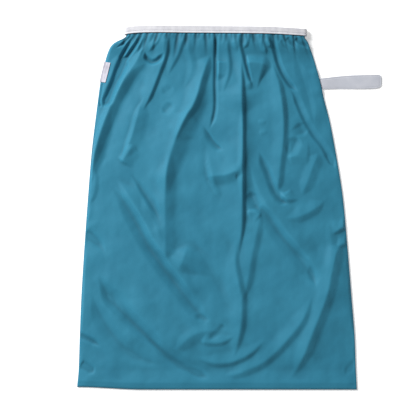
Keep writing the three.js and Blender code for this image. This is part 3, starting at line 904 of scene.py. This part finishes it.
@dataclass(frozen=True)
class ClothFinish:
    """Blue-green knit cloth with a laminated inside and a soft satin sheen, with shade and highlights painted
    along its folds.
    """

    name: str = "liner_cloth"
    deep: Colour = (0.025, 0.189, 0.294)
    main: Colour = (0.028, 0.202, 0.310)
    pale: Colour = (0.031, 0.214, 0.326)
    stops: tuple[float, float, float] = (0.30, 0.5, 0.72)
    patches: Cloud = Cloud(70.0, 4.0)
    fibres: Cloud = Cloud(1.6, 2.0)
    fibre_tint: Range = (0.92, 1.08)
    wale: float = 0.72
    course: float = 0.9
    waver: float = 0.6
    knit_tint: Range = (0.95, 1.06)
    knit_relief: Relief = Relief(0.12, 0.35)
    creep: Cloud = Cloud(11.0, 5.0)
    creep_relief: Relief = Relief(0.5, 0.25)
    # Painted light: the colour is multiplied by crest on fold crests, a painted highlight, and by crease in
    # the creases, painted shade.
    crest: float = 1.12
    crease: float = 0.38
    rough: Range = (0.58, 0.70)
    sheen: float = 0.08
    sheen_rough: float = 0.4
    specular: float = 0.2

    PAINTED_SHADE = "painted_fold_shade"

    def material(self) -> bpy.types.Material:
        """Build the material, or return it where it is already built.

        Returns:
            The material.
        """
        if self.name in bpy.data.materials:
            return bpy.data.materials[self.name]
        s = Shader(self.name)
        cloud = s.noise(self.patches)
        knit = s.weave(self.wale, self.course, self.waver)
        colour = s.ramp(cloud, *zip(self.stops, (self.deep, self.main, self.pale)))
        colour = s.tint(colour, s.noise(self.fibres), self.fibre_tint)
        colour = s.tint(colour, knit, self.knit_tint)
        fold = s.add("ShaderNodeAttribute", {}, attribute_name=self.PAINTED_SHADE).outputs["Fac"]
        # The ramp reads from 0 to 1, and the attribute runs from -1 to 1. It paints shade into the creases
        # and a highlight onto the crests.
        depth = s.math("MULTIPLY_ADD", fold, 0.5, 0.5)
        painted_fold_light = s.ramp(depth, (0.0, (self.crest,) * 3), (0.5, (1.0,) * 3), (1.0, (self.crease,) * 3))
        creep = s.bump(s.noise(self.creep), self.creep_relief)
        s.set(Base_Color=s.times(colour, painted_fold_light), Roughness=s.span(cloud, self.rough),
              Normal=s.bump(knit, self.knit_relief, creep), Sheen_Weight=self.sheen,
              Sheen_Roughness=self.sheen_rough, Specular_IOR_Level=self.specular)
        return s.material


@dataclass(frozen=True)
class ElasticFinish:
    """White ribbed elastic."""

    name: str = "mouth_elastic"
    shade: Colour = (0.59, 0.59, 0.635)
    light: Colour = (0.70, 0.70, 0.73)
    stops: Range = (0.3, 0.7)
    patches: Cloud = Cloud(14.0, 3.0, (1.0, 2.0, 1.0))
    pick: float = 0.7
    waver: float = 0.8
    pick_tint: Range = (0.93, 1.04)
    pick_relief: Relief = Relief(0.15, 0.4)
    rough: Range = (0.72, 0.86)
    sheen: float = 0.12
    specular: float = 0.3

    def material(self) -> bpy.types.Material:
        """Build the material.

        Returns:
            The material.
        """
        s = Shader(self.name)
        cloud = s.noise(self.patches)
        picks = s.threads(self.pick, Counted.ACROSS, self.waver)
        colour = s.ramp(cloud, *zip(self.stops, (self.shade, self.light)))
        s.set(Base_Color=s.tint(colour, picks, self.pick_tint), Roughness=s.span(cloud, self.rough),
              Normal=s.bump(picks, self.pick_relief), Sheen_Weight=self.sheen,
              Specular_IOR_Level=self.specular)
        return s.material


@dataclass(frozen=True)
class WovenFinish:
    """White woven cloth or ribbon, with creases under its weave where it has them."""

    name: str
    shade: Colour
    light: Colour
    patches: Cloud
    across: float
    along: float
    waver: float
    weave_tint: Range
    weave_relief: Relief
    rough: Range
    sheen: float
    specular: float
    creep: Cloud | None = None
    creep_relief: Relief = Relief(0.4, 0.3)
    stops: Range = (0.3, 0.7)

    def material(self) -> bpy.types.Material:
        """Build the material.

        Returns:
            The material.
        """
        s = Shader(self.name)
        cloud = s.noise(self.patches)
        weave = s.weave(self.across, self.along, self.waver)
        colour = s.ramp(cloud, *zip(self.stops, (self.shade, self.light)))
        creep = s.bump(s.noise(self.creep), self.creep_relief) if self.creep else None
        s.set(Base_Color=s.tint(colour, weave, self.weave_tint), Roughness=s.span(cloud, self.rough),
              Normal=s.bump(weave, self.weave_relief, creep), Sheen_Weight=self.sheen,
              Specular_IOR_Level=self.specular)
        return s.material


STRAP_FINISH = WovenFinish(
    name="strap_cloth", shade=(0.48, 0.50, 0.56), light=(0.55, 0.565, 0.62), patches=Cloud(26.0, 4.0),
    across=0.8, along=0.8, waver=0.5, weave_tint=(0.95, 1.05), weave_relief=Relief(0.12, 0.4),
    rough=(0.70, 0.84), sheen=0.15, specular=0.3, creep=Cloud(9.0, 3.0))
LABEL_FINISH = WovenFinish(
    name="label_ribbon", shade=(0.46, 0.45, 0.53), light=(0.58, 0.57, 0.65), patches=Cloud(8.0, 3.0),
    across=0.45, along=0.6, waver=0.3, weave_tint=(0.92, 1.06), weave_relief=Relief(0.1, 0.4),
    rough=(0.42, 0.56), sheen=0.1, specular=0.4)


@dataclass(frozen=True)
class ThreadFinish:
    """Sewing thread, twisted along its length."""

    name: str
    shade: Colour
    light: Colour
    stops: Range = (0.35, 0.65)
    twist: Cloud = Cloud(0.8, 2.0)
    twist_relief: Relief = Relief(0.1, 0.4)
    rough: Range = (0.55, 0.75)
    specular: float = 0.35

    def material(self) -> bpy.types.Material:
        """Build the material.

        Returns:
            The material.
        """
        s = Shader(self.name)
        twist = s.noise(self.twist)
        s.set(Base_Color=s.ramp(twist, *zip(self.stops, (self.shade, self.light))),
              Roughness=s.span(twist, self.rough), Normal=s.bump(twist, self.twist_relief),
              Specular_IOR_Level=self.specular)
        return s.material


# The band's stitches are real white thread, coloured greyer than the elastic as painted shade in their stitch
# holes.
BAND_THREAD = ThreadFinish("band_thread", (0.52, 0.52, 0.57), (0.64, 0.64, 0.68))
STRAP_THREAD = ThreadFinish("strap_thread", (0.40, 0.41, 0.47), (0.58, 0.59, 0.64))


@dataclass(frozen=True)
class FloorFinish:
    """A pale, even paper floor."""

    name: str = "studio_floor"
    shade: Colour = (0.90, 0.90, 0.90)
    light: Colour = (0.95, 0.95, 0.95)
    stops: Range = (0.3, 0.7)
    patches: Cloud = Cloud(400.0, 2.0)
    rough: float = 0.9
    specular: float = 0.1
    glow: tuple[float, float, float, float] = (1.0, 1.0, 1.0, 1.0)
    glow_strength: float = 0.3

    def material(self) -> bpy.types.Material:
        """Build the material.

        Returns:
            The material.
        """
        s = Shader(self.name)
        colour = s.ramp(s.noise(self.patches), *zip(self.stops, (self.shade, self.light)))
        s.set(Base_Color=colour, Roughness=self.rough, Specular_IOR_Level=self.specular,
              Emission_Color=self.glow, Emission_Strength=self.glow_strength)
        return s.material


@dataclass(frozen=True)
class Stitching:
    """A run of sewn stitches, each a small bead of thread along a line."""

    pitch: float
    length: float
    width: float
    height: float
    seed: int = 3

    BEAD = {"Segments": 8, "Rings": 5, "Radius": 0.5}
    SHORTEST = 0.86
    LONGEST = 1.08

    def group(self) -> NodeGroup:
        """Build the tree that strews stitches along lines.

        Returns:
            The tree.
        """
        g = NodeGroup("stitch_run")
        pitch, length = g.wants("Pitch"), g.wants("Length")
        width, height = g.wants("Width"), g.wants("Height")
        seed = g.wants("Seed", "NodeSocketInt")
        finish = g.wants("Thread", "NodeSocketMaterial")
        curve = g.add("GeometryNodeMeshToCurve", {"Mesh": g.entry.outputs[0]})
        even = g.add("GeometryNodeResampleCurve", {"Curve": curve.outputs[0], "Length": pitch}, mode="LENGTH")
        bead = g.add("GeometryNodeMeshUVSphere", self.BEAD)
        tangent = g.add("GeometryNodeInputTangent", {})
        turn = g.add("FunctionNodeAlignRotationToVector", {"Vector": tangent.outputs[0]}, axis="X")
        vary = g.add("FunctionNodeRandomValue", {2: self.SHORTEST, 3: self.LONGEST, "Seed": seed},
                     data_type="FLOAT")
        long = g.math("MULTIPLY", length, vary.outputs[1])
        size = g.add("ShaderNodeCombineXYZ", {0: long, 1: width, 2: height})
        sewn = g.add("GeometryNodeInstanceOnPoints",
                     {"Points": even.outputs[0], "Instance": bead.outputs[0], "Rotation": turn.outputs[0],
                      "Scale": size.outputs[0]})
        g.close(sewn.outputs[0], finish)
        return g

    def sew(self, name: str, lines: list[Array], thread: ThreadFinish) -> bpy.types.Object:
        """Sew along lines.

        Args:
            name: The piece's name.
            lines: The points of each line, in millimetres.
            thread: The thread.

        Returns:
            The stitches as one piece.
        """
        values = {"Pitch": self.pitch * MM, "Length": self.length * MM, "Width": self.width * MM,
                  "Height": self.height * MM, "Seed": self.seed, "Thread": thread.material()}
        return self.group().make(name, line_mesh(name, lines), values)


@dataclass(frozen=True)
class ElasticBand:
    """The ribbed elastic loop round the mouth, seen along the bag as a low box with round corners.

    Its lower edge is a lip that flares beyond a groove, on the loop's upper side only.
    """

    width: float = 13.0
    left: float = -182.5
    right: float = 176.5
    corner: float = 6.0
    corner_steps: int = 6
    side_flat: float = 0.4
    side_steps: int = 5
    floor_gap: float = 0.1
    step: float = 2.6
    ripple: float = 0.12
    ripple_length: float = 12.0
    ripple_stray: float = 1.3
    ripple_stray_run: float = 23.0
    rib_pitch: float = 1.1
    rib_height: float = 0.07
    section_points: int = 112
    merge: float = 1e-7
    upper_side: Range = (6.0, 9.0)
    lip_width: float = 4.0
    lip_flare: float = 0.6
    groove_drop: float = 0.2
    groove_width: float = 0.9
    groove_depth: float = 0.45
    stitching: Stitching = Stitching(pitch=3.4, length=2.2, width=0.5, height=0.3)
    stitch_above_lip: float = 4.2
    stitch_margin: float = 9.0
    stitch_points: int = 150
    stitch_sink: float = 0.1

    THICKNESS = 1.4
    TOP = 22.0
    END_TOP = 14.0
    END_RUN = 90.0
    END_POWER = 1.8
    MIDDLE_Y = 349.6
    MIDDLE = ((-182.5, 345.2), (-172.0, 347.8), (-140.0, 349.4), (-100.0, 349.2), (-60.0, 348.6),
              (0.0, 348.2), (50.0, 347.8), (100.0, 347.0), (150.0, 345.0), (176.5, 343.6))

    @staticmethod
    def middle_y(x: Array) -> Array:
        """Read the band's middle line, which sags a little towards both ends."""
        table = np.array(ElasticBand.MIDDLE)
        return ease_through(table[:, 0], table[:, 1], np.clip(x, table[0, 0], table[-1, 0]))

    @staticmethod
    def top_at(x: Array) -> Array:
        """Measure how high the band stands, lower towards both ends.

        Args:
            x: Places across the bag.

        Returns:
            The height of the band's top at each place.
        """
        left, right = ElasticBand.MIDDLE[0][0], ElasticBand.MIDDLE[-1][0]
        inset = np.clip(np.minimum(x - left, right - x), 0.0, ElasticBand.END_RUN) / ElasticBand.END_RUN
        bow = 1 - (1 - inset)**ElasticBand.END_POWER
        return ElasticBand.END_TOP + (ElasticBand.TOP - ElasticBand.END_TOP) * bow

    def loop(self) -> Array:
        """Draw the loop that the band follows, over the top to the right and back below.

        Returns:
            The loop's points in millimetres.
        """
        inset = self.THICKNESS / 2
        low, high = inset + self.rib_height + self.floor_gap, self.END_TOP - inset
        radius = min(self.corner - inset, (high - low) / 2 - self.side_flat)
        x0, x1 = self.left + inset + radius, self.right - inset - radius
        corners = np.array([(x1, high - radius), (x1, low + radius), (x0, low + radius), (x0, high - radius)])
        turn = np.linspace(0.0, math.pi / 2, self.corner_steps)
        parts = []
        for k, corner in enumerate(corners):
            angle = turn + k * math.pi / 2
            arc = corner + radius * np.stack([np.sin(angle), np.cos(angle)], axis=1)
            count = self.side_steps if k % 2 else int((x1 - x0) / self.step)
            run_start = corners[k - 1] + arc[0] - corner
            parts += [np.linspace(run_start, arc[0], count), arc[1:-1]]
        flat = np.vstack(parts)
        share = smooth(low + radius, high, flat[:, 1])
        stray = self.ripple_stray * np.sin(flat[:, 0] / self.ripple_stray_run)
        wave = np.sin(2 * math.pi * flat[:, 0] / self.ripple_length + stray)
        z = flat[:, 1] + share * (self.top_at(flat[:, 0]) - self.END_TOP + self.ripple * (wave - 1))
        return np.stack([flat[:, 0], self.middle_y(flat[:, 0]), z], axis=1)

    def group(self) -> NodeGroup:
        """Build the tree that sweeps the ribbed section of the band round its loop.

        Returns:
            The tree.
        """
        g = NodeGroup("elastic_loop")
        width, thickness = g.wants("Width"), g.wants("Thickness")
        pitch, depth = g.wants("Rib Pitch"), g.wants("Rib Height")
        finish = g.wants("Elastic", "NodeSocketMaterial")
        curve = g.add("GeometryNodeMeshToCurve", {"Mesh": g.entry.outputs[0]})
        held = g.add("GeometryNodeSetCurveNormal", {"Curve": curve.outputs[0], "Normal": (0.0, 1.0, 0.0)},
                     mode="FREE")
        box = g.add("GeometryNodeCurvePrimitiveQuadrilateral", {"Width": width, "Height": thickness})
        fine = g.add("GeometryNodeResampleCurve", {"Curve": box.outputs[0], "Count": self.section_points})
        place = g.add("GeometryNodeInputPosition", {})
        parts = g.add("ShaderNodeSeparateXYZ", {0: place.outputs[0]})
        turns = g.math("MULTIPLY", g.math("DIVIDE", parts.outputs[0], pitch), 2 * math.pi)
        wave = g.math("MULTIPLY", g.math("COSINE", turns), depth)
        outer = g.math("MULTIPLY", wave, g.math("GREATER_THAN", parts.outputs[1], 0.0))
        offset = g.add("ShaderNodeCombineXYZ", {1: outer})
        ribbed = g.add("GeometryNodeSetPosition", {"Geometry": fine.outputs[0], "Offset": offset.outputs[0]})
        swept = g.add("GeometryNodeCurveToMesh",
                      {"Curve": held.outputs[0], "Profile Curve": ribbed.outputs[0]})
        g.close(swept.outputs[0], finish)
        return g

    def flare_lip(self, mesh: bpy.types.Mesh) -> None:
        """Turn the band's lower edge out where it shows, with all faces smooth and outwards.

        Args:
            mesh: The band's mesh, which is changed.
        """
        work = bmesh.new()
        work.from_mesh(mesh)
        bmesh.ops.remove_doubles(work, verts=work.verts, dist=self.merge)
        bmesh.ops.recalc_face_normals(work, faces=work.faces)
        for vertex in work.verts:
            x, y, z = (c / MM for c in vertex.co)
            down = float(self.middle_y(np.array([x]))[0]) - self.width / 2 + self.lip_width - y
            upper = float(smooth(*self.upper_side, z))
            share = float(smooth(0.0, self.lip_width, down)) * upper
            groove = math.exp(-((down - self.groove_drop) / self.groove_width)**2) * upper
            vertex.co.z += (self.lip_flare * share - self.groove_depth * groove) * MM
        work.to_mesh(mesh)
        work.free()
        mesh.polygons.foreach_set("use_smooth", [True] * len(mesh.polygons))

    def build(self, finish: ElasticFinish, thread: ThreadFinish) -> list[bpy.types.Object]:
        """Make the band and the line of stitches above its lip.

        Args:
            finish: The elastic.
            thread: The stitches' thread.

        Returns:
            The finished pieces.
        """
        values = {"Width": self.width * MM, "Thickness": self.THICKNESS * MM,
                  "Rib Pitch": self.rib_pitch * MM, "Rib Height": self.rib_height * MM,
                  "Elastic": finish.material()}
        loop = self.loop()
        band = self.group().make("elastic_loop", line_mesh("elastic_loop", [loop], closed=True), values)
        self.flare_lip(band.data)
        settle(band, "elastic_band")
        x = np.linspace(self.left + self.stitch_margin, self.right - self.stitch_margin, self.stitch_points)
        upper = loop[:len(loop) // 2]
        top = np.interp(x, upper[:, 0], upper[:, 2]) + self.THICKNESS / 2
        y = self.middle_y(x) - self.width / 2 + self.stitch_above_lip
        line = np.stack([x, y, top - self.stitch_sink], axis=1)
        seam = self.stitching.sew("elastic_stitches", [line], thread)
        settle(seam)
        return [band, seam]


@dataclass(frozen=True)
class SideStrap:
    """The folded cloth strap that comes out of the right seam and lies on the surface.

    Its rows (x, low, high) give both edges from the seam to the tip.
    """

    rows: tuple[tuple[float, float, float], ...] = (
        (196, 234, 254), (210, 234, 255.5), (226, 234, 257.5), (244, 234, 259.5), (265, 234, 261),
        (300, 234.5, 262), (315, 235.5, 262.3), (320, 237.5, 261.6), (322.5, 240, 259.8),
        (323.8, 243.5, 256.5))
    along: int = 121
    across: int = 41
    crowd: float = 0.45
    wall: float = 0.8
    root_z: float = 1.6
    drop_start: float = 206.0
    drop_end: float = 244.0
    edge_round: float = 1.4
    edge_share: float = 0.55
    wave: float = 0.5
    wave_run: float = 17.0
    wave_start: float = 16.0
    stitching: Stitching = Stitching(pitch=2.9, length=2.1, width=0.5, height=0.4)
    stitch_inset: float = 2.6
    stitch_dent: float = 0.4
    stitch_dent_width: float = 0.7
    stitch_root: float = 12.0
    stitch_tip: float = 6.0
    side_points: int = 60
    tip_points: int = 20

    THICKNESS = 1.6

    def surface(self, x: Array, share: Array) -> Array:
        """Find points on the strap's top.

        Args:
            x: Places along the strap.
            share: Places across it, 0 at its lower edge and 1 at its upper.

        Returns:
            The points in millimetres.
        """
        table = np.array(self.rows, float)
        low = ease_through(table[:, 0], table[:, 1], x)
        high = ease_through(table[:, 0], table[:, 2], x)
        y = low + (high - low) * share
        gap = np.minimum(np.minimum(y - low, high - y), table[-1, 0] - x)
        bulge = np.sqrt(np.clip(1 - (1 - np.clip(gap / self.edge_round, 0.0, 1.0))**2, 0.0, 1.0))
        seam = self.stitch_dent * np.exp(-((gap - self.stitch_inset) / self.stitch_dent_width)**2)
        lift = self.root_z * smooth(self.drop_end, self.drop_start, x)
        begun = smooth(self.drop_end, self.drop_end + self.wave_start, x)
        sway = self.wave * (1 - np.cos((x - self.drop_end) / self.wave_run)) * begun
        z = lift + sway + self.THICKNESS * (self.edge_share + (1 - self.edge_share) * bulge) - seam
        return np.stack([x, y, z], axis=-1)

    def build(self, finish: WovenFinish, thread: ThreadFinish) -> list[bpy.types.Object]:
        """Make the strap and the stitches round its edge.

        Args:
            finish: The strap's cloth.
            thread: The stitches' thread.

        Returns:
            The finished pieces.
        """
        first, last = self.rows[0][0], self.rows[-1][0]
        t = 0.5 - 0.5 * np.cos(np.linspace(0.0, math.pi, self.across))
        x, share = np.meshgrid(crowded(first, last, self.along, self.crowd), t)
        piece = cloth_wall("strap_cloth", self.surface(x, share), self.wall, finish.material())
        settle(piece, "side_strap")
        tip = last - self.stitch_tip
        run = np.linspace(first + self.stitch_root, tip, self.side_points)
        table = np.array(self.rows, float)
        inner = self.stitch_inset / ease_through(table[:, 0], table[:, 2] - table[:, 1], run)
        cross = np.linspace(inner[-1], 1 - inner[-1], self.tip_points)
        lines = [self.surface(run, inner), self.surface(run, 1 - inner),
                 self.surface(np.full(self.tip_points, tip), cross)]
        seam = self.stitching.sew("strap_stitches", lines, thread)
        settle(seam)
        return [piece, seam]


@dataclass(frozen=True)
class BackPanel:
    """The lower panel, which lies on the surface and rises over the elastic at the mouth."""

    outline: Outline
    rows: int = 121
    columns: int = 201
    row_crowd: float = 0.5
    thickness: float = 1.3
    lift: float = 1.7
    lift_start: float = 300.0
    lift_full: float = 334.0
    gather: float = 1.0
    gather_pitch: float = 12.5
    gather_stray: float = 1.7
    gather_stray_run: float = 31.0
    flat: tuple[float, float] = (0.56, 0.73)

    def seam_top(self, y: Array) -> Array:
        """Measure the highest that the back panel comes at its side seams."""
        return self.thickness + (self.lift + 2 * self.gather) * smooth(self.lift_start, self.lift_full, y)

    def build(self, finish: ClothFinish) -> bpy.types.Object:
        """Make the panel.

        Args:
            finish: Its cloth.

        Returns:
            The finished piece.
        """
        y = crowded(HEM_Y, MOUTH_Y, self.rows, self.row_crowd)[:, None]
        left, right = self.outline.edges(y)
        x = left + (right - left) * np.linspace(0.0, 1.0, self.columns)[None, :]
        y = np.broadcast_to(y, x.shape)
        ramp = smooth(self.lift_start, self.lift_full, y)
        stray = self.gather_stray * np.sin(x / self.gather_stray_run)
        wave = np.cos(2 * math.pi * x / self.gather_pitch + stray)
        z = self.thickness + (self.lift + self.gather * (1 + wave)) * ramp
        top = np.stack([x, self.outline.row_y(x, y), z], axis=-1)
        piece = cloth_wall("back_cloth", top, self.thickness, finish.material())
        settle(piece, "back_panel")
        return piece


@dataclass(frozen=True)
class FrontPanel:
    """The upper panel, with the photograph's folds, gathered up to the elastic.

    A shelf above the hem lies flat, and from there the panel climbs to its crown. Towards the
    mouth it bends to the elastic, its folds calm down, and what is too high is pressed under
    the band. Each pair of strap sizes is where the seam's room for the strap begins and is full.
    """

    outline: Outline
    back: BackPanel
    folds: tuple[Fold, ...] = FOLDS
    gathers: Gathers = Gathers()
    wrinkles: Wrinkles = Wrinkles()
    rows: int = 313
    columns: int = 251
    row_crowd: float = 0.35
    column_crowd: float = 0.2
    thickness: float = 1.2
    edge_rise: float = 1.5
    edge_run: float = 2.4
    crown: float = 11.0
    crown_run: float = 90.0
    shelf: float = 38.0
    shelf_run: float = 56.0
    shelf_power: float = 1.4
    hem_rise: float = 2.2
    hem_rise_peak: float = 12.0
    hem_rise_end: float = 44.0
    hem_rise_inset: float = 20.0
    hem_seam_y: float = -347.5
    hem_seam_depth: float = 0.8
    hem_seam_width: float = 2.0
    hem_seam_inset: float = 6.0
    fold_rim: float = 6.0
    fold_foot: float = 22.0
    mouth_flush: float = 1.6
    mouth_run: float = 7.0
    mouth_power: int = 3
    mouth_start: float = 282.0
    mouth_full: float = 341.0
    calm: float = 0.6
    calm_start: float = 322.0
    calm_full: float = 342.0
    press: float = 1.0
    press_start: float = 340.0
    press_full: float = 342.5
    strap_low: Range = (216.0, 231.0)
    strap_high: Range = (278.0, 263.0)
    strap_reach: Range = (26.0, 6.0)
    # Painted shade: the blur reach in grid steps and share of each pass for the shade painted into folds, and
    # how much painted shade the gathers add.
    shade_reach: tuple[tuple[int, float], ...] = ((3, 0.30), (9, 0.08))
    gather_shade: float = 0.2
    flat: tuple[float, float] = (0.56, 0.73)

    def strap_room(self, x: Array, y: Array) -> Array:
        """Measure how far the seam opens for the strap between the panels.

        Args:
            x: Places across the bag.
            y: Places along the bag.

        Returns:
            The lift at each place.
        """
        _, right = self.outline.edges(y)
        along = smooth(*self.strap_low, y) * smooth(*self.strap_high, y)
        return (SideStrap.THICKNESS + CLEARANCE) * along * smooth(*self.strap_reach, right - x)

    def form(self, inset: Array, foot: Array) -> Array:
        """Measure the panel's plain form: its rolled edges, its crown and its raised hem.

        Args:
            inset: How far each place is from the nearer side.
            foot: How far it is from the hem.

        Returns:
            The height above the seams at each place.
        """
        roll = self.edge_rise * (1 - np.exp(-inset / self.edge_run)) * (1 - np.exp(-foot / self.edge_run))
        above = np.clip(foot - self.shelf, 0.0, None)
        climb = 1 - np.exp(-(above / self.shelf_run)**self.shelf_power)
        crown = self.crown * (1 - np.exp(-inset / self.crown_run)) * climb
        tilt = self.hem_rise * smooth(self.hem_rise_end, self.hem_rise_peak, foot)
        tilt = tilt * smooth(0.0, self.hem_rise_peak, foot) * smooth(0.0, self.hem_rise_inset, inset)
        return roll + crown + tilt

    def relief(self, x: Array, y: Array, loose: Array) -> Array:
        """Measure the folds, gathers and wrinkles, which calm down under the elastic.

        Args:
            x: Places across the bag.
            y: Places along the bag.
            loose: How free of the elastic the cloth is at each place, from 0 to 1.

        Returns:
            The change of height at each place.
        """
        folds = sum(fold.heights(x, y) for fold in self.folds)
        uneven = folds + self.gathers.heights(x, y) + self.wrinkles.heights(x, y) * loose
        return uneven * (1 - self.calm * smooth(self.calm_start, self.calm_full, y))

    def height(self, x: Array, y: Array) -> Array:
        """Measure the panel's top surface.

        Args:
            x: Places across the bag.
            y: Places along the bag.

        Returns:
            The height at each place, in millimetres.
        """
        left, right = self.outline.edges(y)
        inset = np.clip(np.minimum(x - left, right - x), 0.0, None)
        foot = np.clip(y - HEM_Y, 0.0, None)
        base = self.back.seam_top(y) + CLEARANCE + self.thickness + self.strap_room(x, y)
        ceiling = ElasticBand.top_at(x) - ElasticBand.THICKNESS - CLEARANCE
        bow = 1 - (1 - np.clip(inset / self.mouth_run, 0.0, 1.0))**self.mouth_power
        mouth = (ceiling + self.mouth_flush - base) * bow
        blend = smooth(self.mouth_start, self.mouth_full, y)
        low = base + self.form(inset, foot) * (1 - blend) + mouth * blend
        rim = smooth(0.0, self.fold_rim, inset) * smooth(0.0, self.fold_foot, foot)
        seam = self.hem_seam_depth * np.exp(-((y - self.hem_seam_y) / self.hem_seam_width)**2)
        seam = seam * smooth(0.0, self.hem_seam_inset, inset)
        z = np.maximum(base, low + self.relief(x, y, 1 - blend) * rim - seam)
        over = np.clip(z - (ceiling - self.press), 0.0, None)
        pressed = ceiling - self.press + self.press * over / (self.press + over)
        return np.where(over > 0, z + (pressed - z) * smooth(self.press_start, self.press_full, y), z)

    def shade(self, z: Array) -> Array:
        """Measure how far each place lies below the cloth around it, near and wide, for the painted shade.

        Args:
            z: The heights of a grid of places.

        Returns:
            The depth of the folds, about 1 in the deepest creases and below 0 on crests, which the cloth
            paints as shade and as highlights.
        """
        depth = np.zeros_like(z)
        for reach, share in self.shade_reach:
            weight = np.hanning(2 * reach + 3)[1:-1]
            weight = weight / weight.sum()
            wide = np.pad(z, reach, mode="edge")
            tall = sum(w * wide[i:i + z.shape[0]] for i, w in enumerate(weight))
            depth += share * (sum(w * tall[:, i:i + z.shape[1]] for i, w in enumerate(weight)) - z)
        return depth

    def build(self, finish: ClothFinish) -> bpy.types.Object:
        """Make the panel.

        Args:
            finish: Its cloth.

        Returns:
            The finished piece.
        """
        y = crowded(HEM_Y, MOUTH_Y, self.rows, self.row_crowd)[:, None]
        left, right = self.outline.edges(y)
        u = np.linspace(-1.0, 1.0, self.columns)[None, :]
        side = (1 + self.column_crowd) * u - self.column_crowd * u**3
        x = (left + right) / 2 + (right - left) / 2 * side
        y = np.broadcast_to(y, x.shape)
        top = np.stack([x, self.outline.row_y(x, y), self.height(x, y)], axis=-1)
        piece = cloth_wall("front_cloth", top, self.thickness, finish.material())
        # Painted shade and highlight: this attribute darkens the cloth in creases and gathers and lightens it
        # on crests.
        depth = self.shade(top[..., 2]) - self.gather_shade * self.gathers.heights(x, y)
        shade = np.zeros(len(piece.data.vertices))
        shade[:x.size] = np.clip(depth, -1, 1).ravel()
        piece.data.attributes.new(ClothFinish.PAINTED_SHADE, "FLOAT", "POINT").data.foreach_set("value", shade)
        settle(piece, "front_panel")
        return piece


@dataclass(frozen=True)
class SideLabel:
    """The bare woven tab on the left seam."""

    panel: FrontPanel
    corners: tuple[Point, ...] = ((-231.0, 248.0), (-219.0, 246.0), (-209.0, 285.0), (-221.5, 287.0))
    thickness: float = 0.8
    gap: float = 0.5
    most_sag: float = 0.6
    seat_inset: float = 1.0
    along: int = 61
    across: int = 25

    def build(self, finish: WovenFinish) -> bpy.types.Object:
        """Make the label, lying on the cloth and standing a little past its edge.

        Args:
            finish: The woven ribbon.

        Returns:
            The finished piece.
        """
        a, b, c, d = (np.array(p) for p in self.corners)
        s = np.linspace(0.0, 1.0, self.along)[:, None, None]
        t = np.linspace(0.0, 1.0, self.across)[None, :, None]
        flat = (a * (1 - t) + b * t) * (1 - s) + (d * (1 - t) + c * t) * s
        x, y = flat[..., 0], flat[..., 1]
        left, _ = self.panel.outline.edges(y)
        under = self.panel.height(np.maximum(x, left + self.seat_inset), y)
        rest = np.maximum(under, np.median(under, axis=1, keepdims=True) - self.most_sag)
        top = np.stack([x, y, rest + self.gap + self.thickness], axis=-1)
        piece = cloth_wall("label_ribbon", top, self.thickness, finish.material())
        settle(piece, "side_label")
        return piece


@dataclass(frozen=True)
class Studio:
    """The pale floor, the soft lights and the camera straight above the bag."""

    centre: Point = (-17.7, 0.0)
    view_width: float = 817.4
    view_height: float = 4.0
    lens: float = 100.0
    sensor: float = 36.0
    floor_size: float = 8.0
    floor_drop: float = 0.3
    key_power: float = 520.0
    key_place: tuple[float, float, float] = (-4.0, 3.0, 3.7)
    key_size: float = 3.0
    sky: float = 0.32
    sky_colour: tuple[float, float, float, float] = (1.0, 1.0, 1.0, 1.0)

    def build(self) -> None:
        """Set up the floor, the lights, the camera and the way light becomes colour."""
        self.lay_floor()
        self.hang_light()
        self.light_room()
        self.place_camera()
        scene = bpy.context.scene
        scene.view_settings.view_transform = "Standard"
        scene.view_settings.look = "None"

    def lay_floor(self) -> None:
        """Lay the floor under the bag."""
        half = self.floor_size / 2
        z = -self.floor_drop * MM
        mesh = bpy.data.meshes.new("studio_floor")
        mesh.from_pydata([(-half, -half, z), (half, -half, z), (half, half, z), (-half, half, z)], [],
                         [(0, 1, 2, 3)])
        floor = bpy.data.objects.new("studio_floor", mesh)
        bpy.context.scene.collection.objects.link(floor)
        mesh.materials.append(FloorFinish().material())

    def hang_light(self) -> None:
        """Hang the main soft light at the upper left, turned to the bag."""
        lamp = bpy.data.lights.new("key_light", "AREA")
        lamp.energy = self.key_power
        lamp.shape = "DISK"
        lamp.size = self.key_size
        light = bpy.data.objects.new("key_light", lamp)
        light.location = self.key_place
        aim = -np.array(self.key_place)
        light.rotation_euler = (math.acos(-aim[2] / np.linalg.norm(aim)), 0.0,
                                math.atan2(aim[1], aim[0]) - math.pi / 2)
        bpy.context.scene.collection.objects.link(light)

    def light_room(self) -> None:
        """Light the room evenly from all sides."""
        world = bpy.data.worlds.new("studio_room")
        world.use_nodes = True
        room = world.node_tree.nodes["Background"]
        room.inputs["Color"].default_value = self.sky_colour
        room.inputs["Strength"].default_value = self.sky
        bpy.context.scene.world = world

    def place_camera(self) -> None:
        """Hang the camera over the bag, so that the photograph's width fills the image."""
        lens = bpy.data.cameras.new("camera")
        lens.lens = self.lens
        lens.sensor_width = self.sensor
        camera = bpy.data.objects.new("camera", lens)
        distance = self.view_width / self.sensor * self.lens
        camera.location = (self.centre[0] * MM, self.centre[1] * MM, (distance + self.view_height) * MM)
        bpy.context.scene.collection.objects.link(camera)
        bpy.context.scene.camera = camera


def main() -> None:
    """Build every piece in order."""
    logging.basicConfig(level=logging.INFO, format="%(message)s")
    outline = Outline()
    cloth = ClothFinish()
    back = BackPanel(outline)
    front = FrontPanel(outline, back)
    back.build(cloth)
    front.build(cloth)
    ElasticBand().build(ElasticFinish(), BAND_THREAD)
    SideStrap().build(STRAP_FINISH, STRAP_THREAD)
    SideLabel(front).build(LABEL_FINISH)
    Studio().build()
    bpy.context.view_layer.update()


if __name__ == "__main__":
    main()
